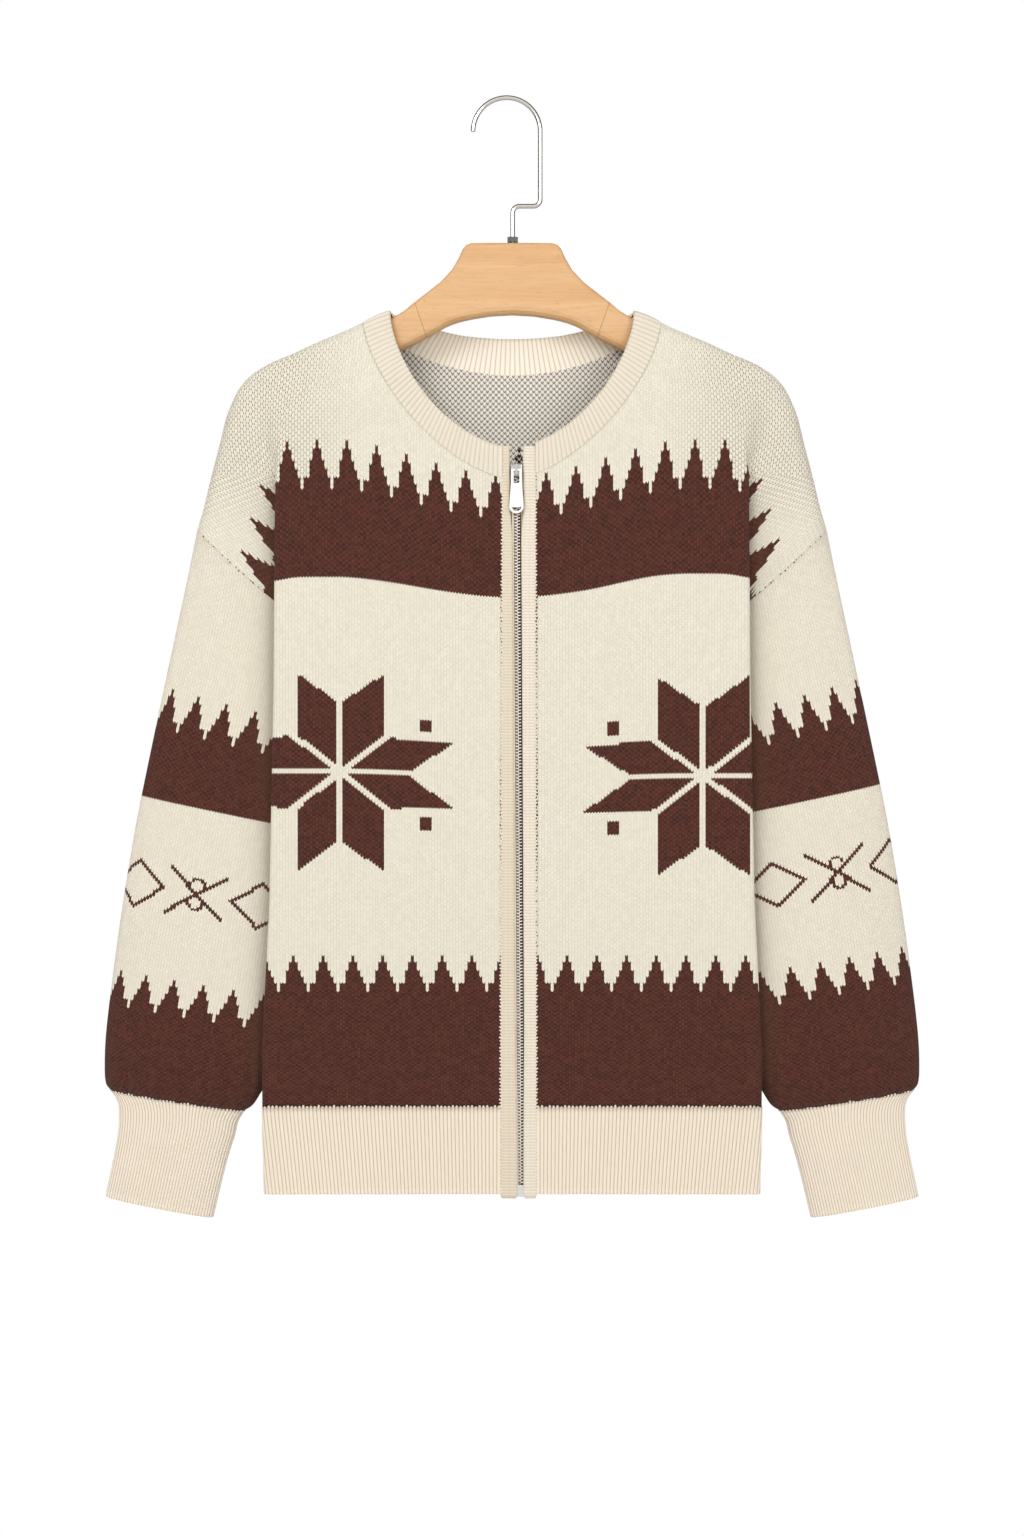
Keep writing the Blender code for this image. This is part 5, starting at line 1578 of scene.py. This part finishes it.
TOOTH_OUTLINE = columns(
    "x z",
    (-0.4, -0.3),
    (0.1, -0.5),
    (1.0, -0.34),
    (2.3, -0.42),
    (2.45, 0.0),
    (2.3, 0.42),
    (1.0, 0.34),
    (0.1, 0.5),
    (-0.4, 0.3),
)
TOOTH_PITCH = 2.3


TEETH_TOP = -283.5
TEETH_FOOT = -799.0
TOOTH_MIDDLE = 1.2
TOOTH_SLIM = 0.88
TOOTH_OFF = 0.3
TOOTH_LEAN = 0.12
TOOTH_REACH = 2.45
# How far behind the front face each level of a tooth lies, and its size
TOOTH_LEVELS = ((0.1, 0.72), (0.45, 1.0), (2.3, 1.0))


def ring_faces(low, high):
    """Faces between two loops of as many points."""
    count = len(low)
    return [(low[i], high[i], high[(i + 1) % count], low[(i + 1) % count]) for i in range(count)]


def make_zip_teeth():
    """Two rows of teeth that mesh all the way down."""
    points = []
    faces = []
    shape = list(zip(TOOTH_OUTLINE["x"], TOOTH_OUTLINE["z"]))
    n = len(shape)
    count = int((TEETH_TOP - TEETH_FOOT) / TOOTH_PITCH)
    for row, sign in enumerate((-1.0, 1.0)):
        for index in range(count):
            z = TEETH_TOP - TOOTH_PITCH * (index + 0.5 * row)
            reach = min(1.0, (parting_at(z) - 0.1) / TOOTH_REACH)
            start = len(points)
            for behind, size in TOOTH_LEVELS:
                for along, up in shape:
                    out = TOOTH_MIDDLE + (along - TOOTH_MIDDLE) * (0.5 + 0.5 * size)
                    x = zip_x(z) + reach * (TOOTH_OFF + sign * TOOTH_SLIM * out)
                    points.append((x, front_face(z) + behind, z + up * size + TOOTH_LEAN * along))
            loops = [[start + level * n + i for i in range(n)] for level in range(len(TOOTH_LEVELS))]
            faces += [tuple(loops[0]), tuple(reversed(loops[-1]))]
            for low_loop, high_loop in zip(loops, loops[1:]):
                faces += ring_faces(low_loop, high_loop)
    obj = solid_from("zip_teeth", points, faces, TEETH_STEEL)
    face_outwards(obj)
    wear(obj, "zip_chain")
    # A dark strip under the right half of the teeth: painted shadow, in the place of the zip cord
    make_strip("zip_core_painted_shadow", 0.1, 2.95, DARK_THREAD_AND_SHADE)
    make_strip("zip_core_light", -2.95, 0.0, PALE_THREAD)
    make_strip("zip_edge_weave", -3.4, -2.2, TAPE, lift=0.9)


STRIP_TOP = -283.0
STRIP_FOOT = -799.5
STRIP_FRONT = 1.75
STRIP_BACK = 2.2


def make_strip(name, start, end, material, lift=0.0):
    """A thin woven strip behind the teeth."""
    points = []
    faces = []
    corners = ((start, STRIP_FRONT), (end, STRIP_FRONT), (end, STRIP_BACK), (start, STRIP_BACK))
    for index, z in enumerate(np.linspace(STRIP_TOP, STRIP_FOOT, 140)):
        reach = min(1.0, parting_at(z) / 3.0)
        for across, deep in corners:
            points.append((zip_x(z) + across * reach, front_face(z) + (deep - lift), z))
        if index:
            last = 4 * index
            for i in range(4):
                k = (i + 1) % 4
                faces.append((last - 4 + i, last - 4 + k, last + k, last + i))
    faces += [(0, 1, 2, 3), tuple(len(points) - 1 - i for i in range(4))]
    obj = solid_from(name, points, faces, material)
    face_outwards(obj)
    wear(obj)


TAPE_TOP = -264.0
TAPE_FOOT = -804.0
TAPE_WIDE = 12.0
TAPE_BEHIND = 2.6


def make_tapes():
    """Woven tapes; between the plackets they only show below the slider's top."""
    for side, sign in (("left", 1.0), ("right", -1.0)):
        rows = []
        for z in np.linspace(TAPE_TOP, TAPE_FOOT, 160):
            start = mix(4.6, 2.1, float(smooth((-z - 273.0) / 9.0)))
            x = zip_x(z) + sign * np.linspace(start, TAPE_WIDE, 8)
            y = np.full_like(x, front_face(z) + TAPE_BEHIND)
            rows.append(np.stack([x, y, np.full_like(x, z)], axis=-1))
        grid = np.array(rows)
        obj = grid_object("zip_tape_%s_weave" % side, grid, {"knit": grid[:, :, ::2]}, [TAPE], wall=0.8)
        wear(obj, "zip_tape_" + side)


def beads(name, places, material):
    """Small rounded stitches; each place is x, y, z, three half sizes and a lean."""
    points = []
    faces = []
    for x, y, z, wide, deep, high, lean in places:
        start = len(points)
        points.append((x, y, z + high))
        for up in (0.55, -0.55):
            ring = math.sqrt(1.0 - up * up)
            off_z = high * up
            for step in range(6):
                angle = step * math.pi / 3.0
                off_x = wide * ring * math.cos(angle)
                points.append((
                    x + off_x * math.cos(lean) - off_z * math.sin(lean),
                    y + deep * ring * math.sin(angle),
                    z + off_x * math.sin(lean) + off_z * math.cos(lean),
                ))
        points.append((x, y, z - high))
        for step in range(6):
            k = (step + 1) % 6
            faces.append((start, start + 1 + step, start + 1 + k))
            faces.append((start + 1 + step, start + 7 + step, start + 7 + k, start + 1 + k))
            faces.append((start + 13, start + 7 + k, start + 7 + step))
    obj = solid_from(name, points, faces, material)
    face_outwards(obj)
    obj.data.shade_smooth()
    wear(obj)


LOOP_COUNT = 214
LOOP_PITCH = 2.52
LOOP_TOP = -268.0
THREAD_DOTS = 44


def placket_stitches(side, sign):
    """Loops of yarn along a placket, and needle holes between them as dark beads of painted shade."""
    loops = []
    for index in range(LOOP_COUNT):
        z = LOOP_TOP - LOOP_PITCH * index
        x = sign * (front_edge(side, z) + 0.2 + 0.35 * math.sin(index * 2.1))
        loops.append((x, front_face(z) - 0.15, z, 1.15, 0.5, 0.8, 0.5 * sign))
    beads("placket_%s_loops" % side, loops, LOOP_THREAD)
    holes = []
    for x, y, z, *rest in loops:
        size = 0.3 + 0.35 * math.sin(0.021 * z) ** 2 - (0.0 if side == "left" else 0.25)
        size += 0.12 * math.sin(z * 1.7)
        if size > 0.3 and z > RIB_SEAM:
            holes.append((x + 0.5 * sign, y - 0.1, z - 0.5 * LOOP_PITCH, size, 0.3, 1.2 * size, 0.0))
    # The needle holes are dark beads: painted shade in the gaps between the loops
    beads("placket_%s_holes" % side, holes, DARK_THREAD_AND_SHADE)


def armhole_stitches(side, sign):
    """Uneven dots of dark thread along the outer part of the armhole seam."""
    places = []
    for face in (-1.0, 1.0):
        for index in range(THREAD_DOTS):
            if math.sin(index * 2.3 + 1.7 * face) < -0.35:
                continue
            share = 0.03 + 0.62 * index / THREAD_DOTS + 0.006 * math.sin(index * 3.7)
            x, z = armhole_point(share)
            y = float(arm_depth(np.array(x), np.array(z))) + 0.25
            size = 0.45 + 0.3 * abs(math.sin(index * 1.9 + face))
            off = 1.1 * math.sin(index * 4.1 + face)
            place = (sign * (x - 0.5 * off), face * y, z - 0.8 * off)
            places.append((*place, size, 0.35, 0.9 * size, 0.8 * sign))
    beads("armhole_%s_thread" % side, places, DARK_THREAD_AND_SHADE)


def make_seam_stitches():
    for side, sign in (("left", 1.0), ("right", -1.0)):
        placket_stitches(side, sign)
        armhole_stitches(side, sign)


JOINT_FROM = 60.0
GLUE_SHRINK = 0.985
GLUE_OUT = 0.15
GLUE_THICK = 0.2


def polish_solids():
    """Better materials and rounded edges for the solids that stay."""
    looks = {
        "hanger_plate": (WOOD, 0.0),
        "hanger_arm_left": (WOOD, 0.0),
        "hanger_arm_right": (WOOD, 0.0),
        "hook": (HOOK_STEEL, 0.0),
        "hook_nut": (HOOK_STEEL, 0.3),
        "slider": (SHADED_SLIDER_STEEL, 0.25),
        "pull_tab": (STEEL, 0.22),
        "zip_box": (STEEL, 0.2),
    }
    for name, (material, bevel) in looks.items():
        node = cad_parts[name]
        node.data.materials.clear()
        node.data.materials.append(material)
        if bevel:
            rounding = node.modifiers.new("rounding", "BEVEL")
            rounding.width = bevel * MM
            rounding.segments = 2
            rounding.limit_method = "ANGLE"


def make_glue_lines():
    """Glue in the hanger's finger joints, just below the surface of the wood."""
    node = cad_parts["hanger_plate"]
    turn = np.array(node.matrix_world)
    points = np.array([vertex.co[:] for vertex in node.data.vertices]) @ turn[:3, :3].T + turn[:3, 3]
    points /= MM
    for side, sign in (("left", 1.0), ("right", -1.0)):
        faces = []
        for polygon in node.data.polygons:
            corners = points[list(polygon.vertices)]
            across = np.cross(corners[1] - corners[0], corners[2] - corners[0])
            across /= max(np.linalg.norm(across), 1e-9)
            if abs(across[0]) > 0.8 and corners[:, 0].mean() * sign > JOINT_FROM:
                faces.append(list(polygon.vertices))
        used = sorted({index for face in faces for index in face})
        cap = points[used]
        middle = cap.mean(axis=0)
        cap = middle + (cap - middle) * GLUE_SHRINK + np.array([GLUE_OUT * sign, 0.0, 0.0])
        number = {index: at for at, index in enumerate(used)}
        faces = [[number[index] for index in face] for face in faces]
        obj = solid_from("glue_line_" + side, cap, faces, GLUE)
        body = obj.modifiers.new("thickness", "SOLIDIFY")
        body.thickness = GLUE_THICK * MM
        body.offset = 0.0
        wear(obj)


HOOK_WIRE = 1.7
HOOK_ARC = 24.85
HOOK_CENTRE_X = -3.95
SHANK_X = 0.5
CRANK_Z = -78.7
CRANK_BEND = 5.0
SHANK_HEIGHTS = (-95.0, -106.5)


def make_hook():
    """The hanger's wire with an even round bend, in place of its solid."""
    arc_z = HOOK_WIRE - HOOK_ARC
    side_x = HOOK_CENTRE_X + HOOK_ARC - CRANK_BEND
    points = []
    for angle in np.linspace(math.pi, 0.0, 64):
        points.append((HOOK_CENTRE_X + HOOK_ARC * math.cos(angle), arc_z + HOOK_ARC * math.sin(angle)))
    for z in np.linspace(arc_z, CRANK_Z + CRANK_BEND, 14)[1:]:
        points.append((side_x + CRANK_BEND, z))
    for angle in np.linspace(0.0, 0.5 * math.pi, 10)[1:]:
        across, up = CRANK_BEND * math.cos(angle), CRANK_BEND * math.sin(angle)
        points.append((side_x + across, CRANK_Z + CRANK_BEND - up))
    for angle in np.linspace(0.5 * math.pi, 0.0, 10):
        across, up = CRANK_BEND * math.cos(angle), CRANK_BEND * math.sin(angle)
        points.append((SHANK_X + CRANK_BEND - across, CRANK_Z - CRANK_BEND + up))
    points += [(SHANK_X, z) for z in SHANK_HEIGHTS]
    curve = bpy.data.curves.new("hook_wire", "CURVE")
    curve.dimensions = "3D"
    curve.bevel_depth = HOOK_WIRE * MM
    curve.bevel_resolution = 5
    curve.use_fill_caps = True
    spline = curve.splines.new("POLY")
    spline.points.add(len(points) - 1)
    for point, (x, z) in zip(spline.points, points):
        point.co = (x * MM, 0.0, z * MM, 1.0)
    spline.use_smooth = True
    curve.materials.append(HOOK_STEEL)
    wear(placed("hook_wire", curve), "hook")


# Scene

def area_light(name, location, size, power):
    data = bpy.data.lights.new(name, "AREA")
    data.shape = "RECTANGLE"
    data.size, data.size_y = size, size
    data.energy = power
    light = placed(name, data)
    light.location = location
    direction = Vector(AIM) - Vector(location)
    light.rotation_euler = direction.to_track_quat("-Z", "Y").to_euler()


def value_ramp(tree, value, low, high, to_low, to_high):
    node = tree.nodes.new("ShaderNodeMapRange")
    for key, number in (("From Min", low), ("From Max", high), ("To Min", to_low), ("To Max", to_high)):
        node.inputs[key].default_value = number
    tree.links.new(value, node.inputs["Value"])
    return node.outputs[0]


def switch(tree, ray, otherwise, shader):
    """One shader for rays of a kind and another for all the rest."""
    path = tree.nodes.new("ShaderNodeLightPath")
    node = tree.nodes.new("ShaderNodeMixShader")
    tree.links.new(path.outputs[ray], node.inputs[0])
    tree.links.new(otherwise, node.inputs[1])
    tree.links.new(shader, node.inputs[2])
    return node.outputs[0]


def make_world():
    """White to the camera, soft light from above, and bright from the front in mirrors."""
    world = bpy.data.worlds.new("studio")
    bpy.context.scene.world = world
    world.use_nodes = True
    tree = world.node_tree
    place = tree.nodes.new("ShaderNodeTexCoord")
    split = tree.nodes.new("ShaderNodeSeparateXYZ")
    tree.links.new(place.outputs["Generated"], split.inputs[0])
    background = tree.nodes["Background"]
    plain = tree.nodes.new("ShaderNodeBackground")
    mirrored = tree.nodes.new("ShaderNodeBackground")
    for node in (background, plain, mirrored):
        node.inputs["Color"].default_value = WHITE
    plain.inputs["Strength"].default_value = 1.0
    height = value_ramp(tree, split.outputs[2], -0.7, 0.6, WORLD_LOW, WORLD_HIGH)
    front = value_ramp(tree, split.outputs[1], -0.45, -0.95, 0.12, 1.15)
    tree.links.new(height, background.inputs["Strength"])
    tree.links.new(front, mirrored.inputs["Strength"])
    lit = switch(tree, "Is Glossy Ray", background.outputs[0], mirrored.outputs[0])
    seen = switch(tree, "Is Camera Ray", lit, plain.outputs[0])
    tree.links.new(seen, tree.nodes["World Output"].inputs["Surface"])


def make_floor():
    """A floor that the camera sees as plain white."""
    near, far = -FLOOR_HALF, FLOOR_HALF
    corners = [(x, y, FLOOR_HEIGHT) for x, y in ((near, near), (far, near), (far, far), (near, far))]
    mesh = bpy.data.meshes.new("floor")
    mesh.from_pydata(corners, [], [(0, 1, 2, 3)])
    g = Graph("floor_white")
    g.finish((0.8, 0.8, 0.8), 0.9)
    glow = g.tree.nodes.new("ShaderNodeEmission")
    glow.inputs["Color"].default_value = WHITE
    seen = switch(g.tree, "Is Camera Ray", g.shader.outputs[0], glow.outputs[0])
    g.tree.links.new(seen, g.tree.nodes["Material Output"].inputs["Surface"])
    mesh.materials.append(g.material)
    placed("floor", mesh)


def make_camera():
    data = bpy.data.cameras.new("camera")
    data.lens = CAMERA_LENS
    data.sensor_width = CAMERA_SENSOR
    data.sensor_fit = "AUTO"
    camera = placed("camera", data)
    camera.location = CAMERA_PLACE
    camera.rotation_euler = (math.radians(90.0), 0.0, 0.0)
    bpy.context.scene.camera = camera
    bpy.context.scene.view_settings.view_transform = "Standard"


STEEL = metal_material("zip_steel", (0.93, 0.92, 0.89), 0.2)
# A darker copy of the zip steel: painted shade for the slider behind the pull tab
SHADED_SLIDER_STEEL = metal_material("slider_steel_painted_shade", (0.5, 0.48, 0.45), 0.28)
TEETH_STEEL = metal_material("teeth_steel", (0.98, 0.95, 0.89), 0.25, metallic=0.3)
HOOK_STEEL = metal_material("hook_steel", (0.72, 0.69, 0.64), 0.16)
LOOP_THREAD = thread_material("loop_thread", linear(240, 230, 211))
PALE_THREAD = thread_material("pale_thread", linear(150, 126, 102))
# Dark thread for the armhole stitches; the same colour is painted shade in the placket holes and under the
# zip teeth
DARK_THREAD_AND_SHADE = thread_material("dark_thread_and_painted_shade", linear(84, 50, 38))
WOOD = wood_material("beech_wood")
GLUE = thread_material("wood_glue", linear(206, 158, 108))
TAPE = tape_material("woven_tape")
PLACKET_KNIT = {
    "left": placket_material("placket_left_knit", linear(239, 230, 212), linear(210, 182, 156)),
    "right": placket_material("placket_right_knit", linear(230, 218, 196), linear(204, 178, 151)),
}

make_panels()
make_hems()
make_neckband()
make_sleeves()
make_plackets()
make_zip_teeth()
make_tapes()
make_seam_stitches()
polish_solids()
make_glue_lines()
make_hook()
make_world()
area_light("key", **KEY_LIGHT)
area_light("fill", **FILL_LIGHT)
make_floor()
make_camera()
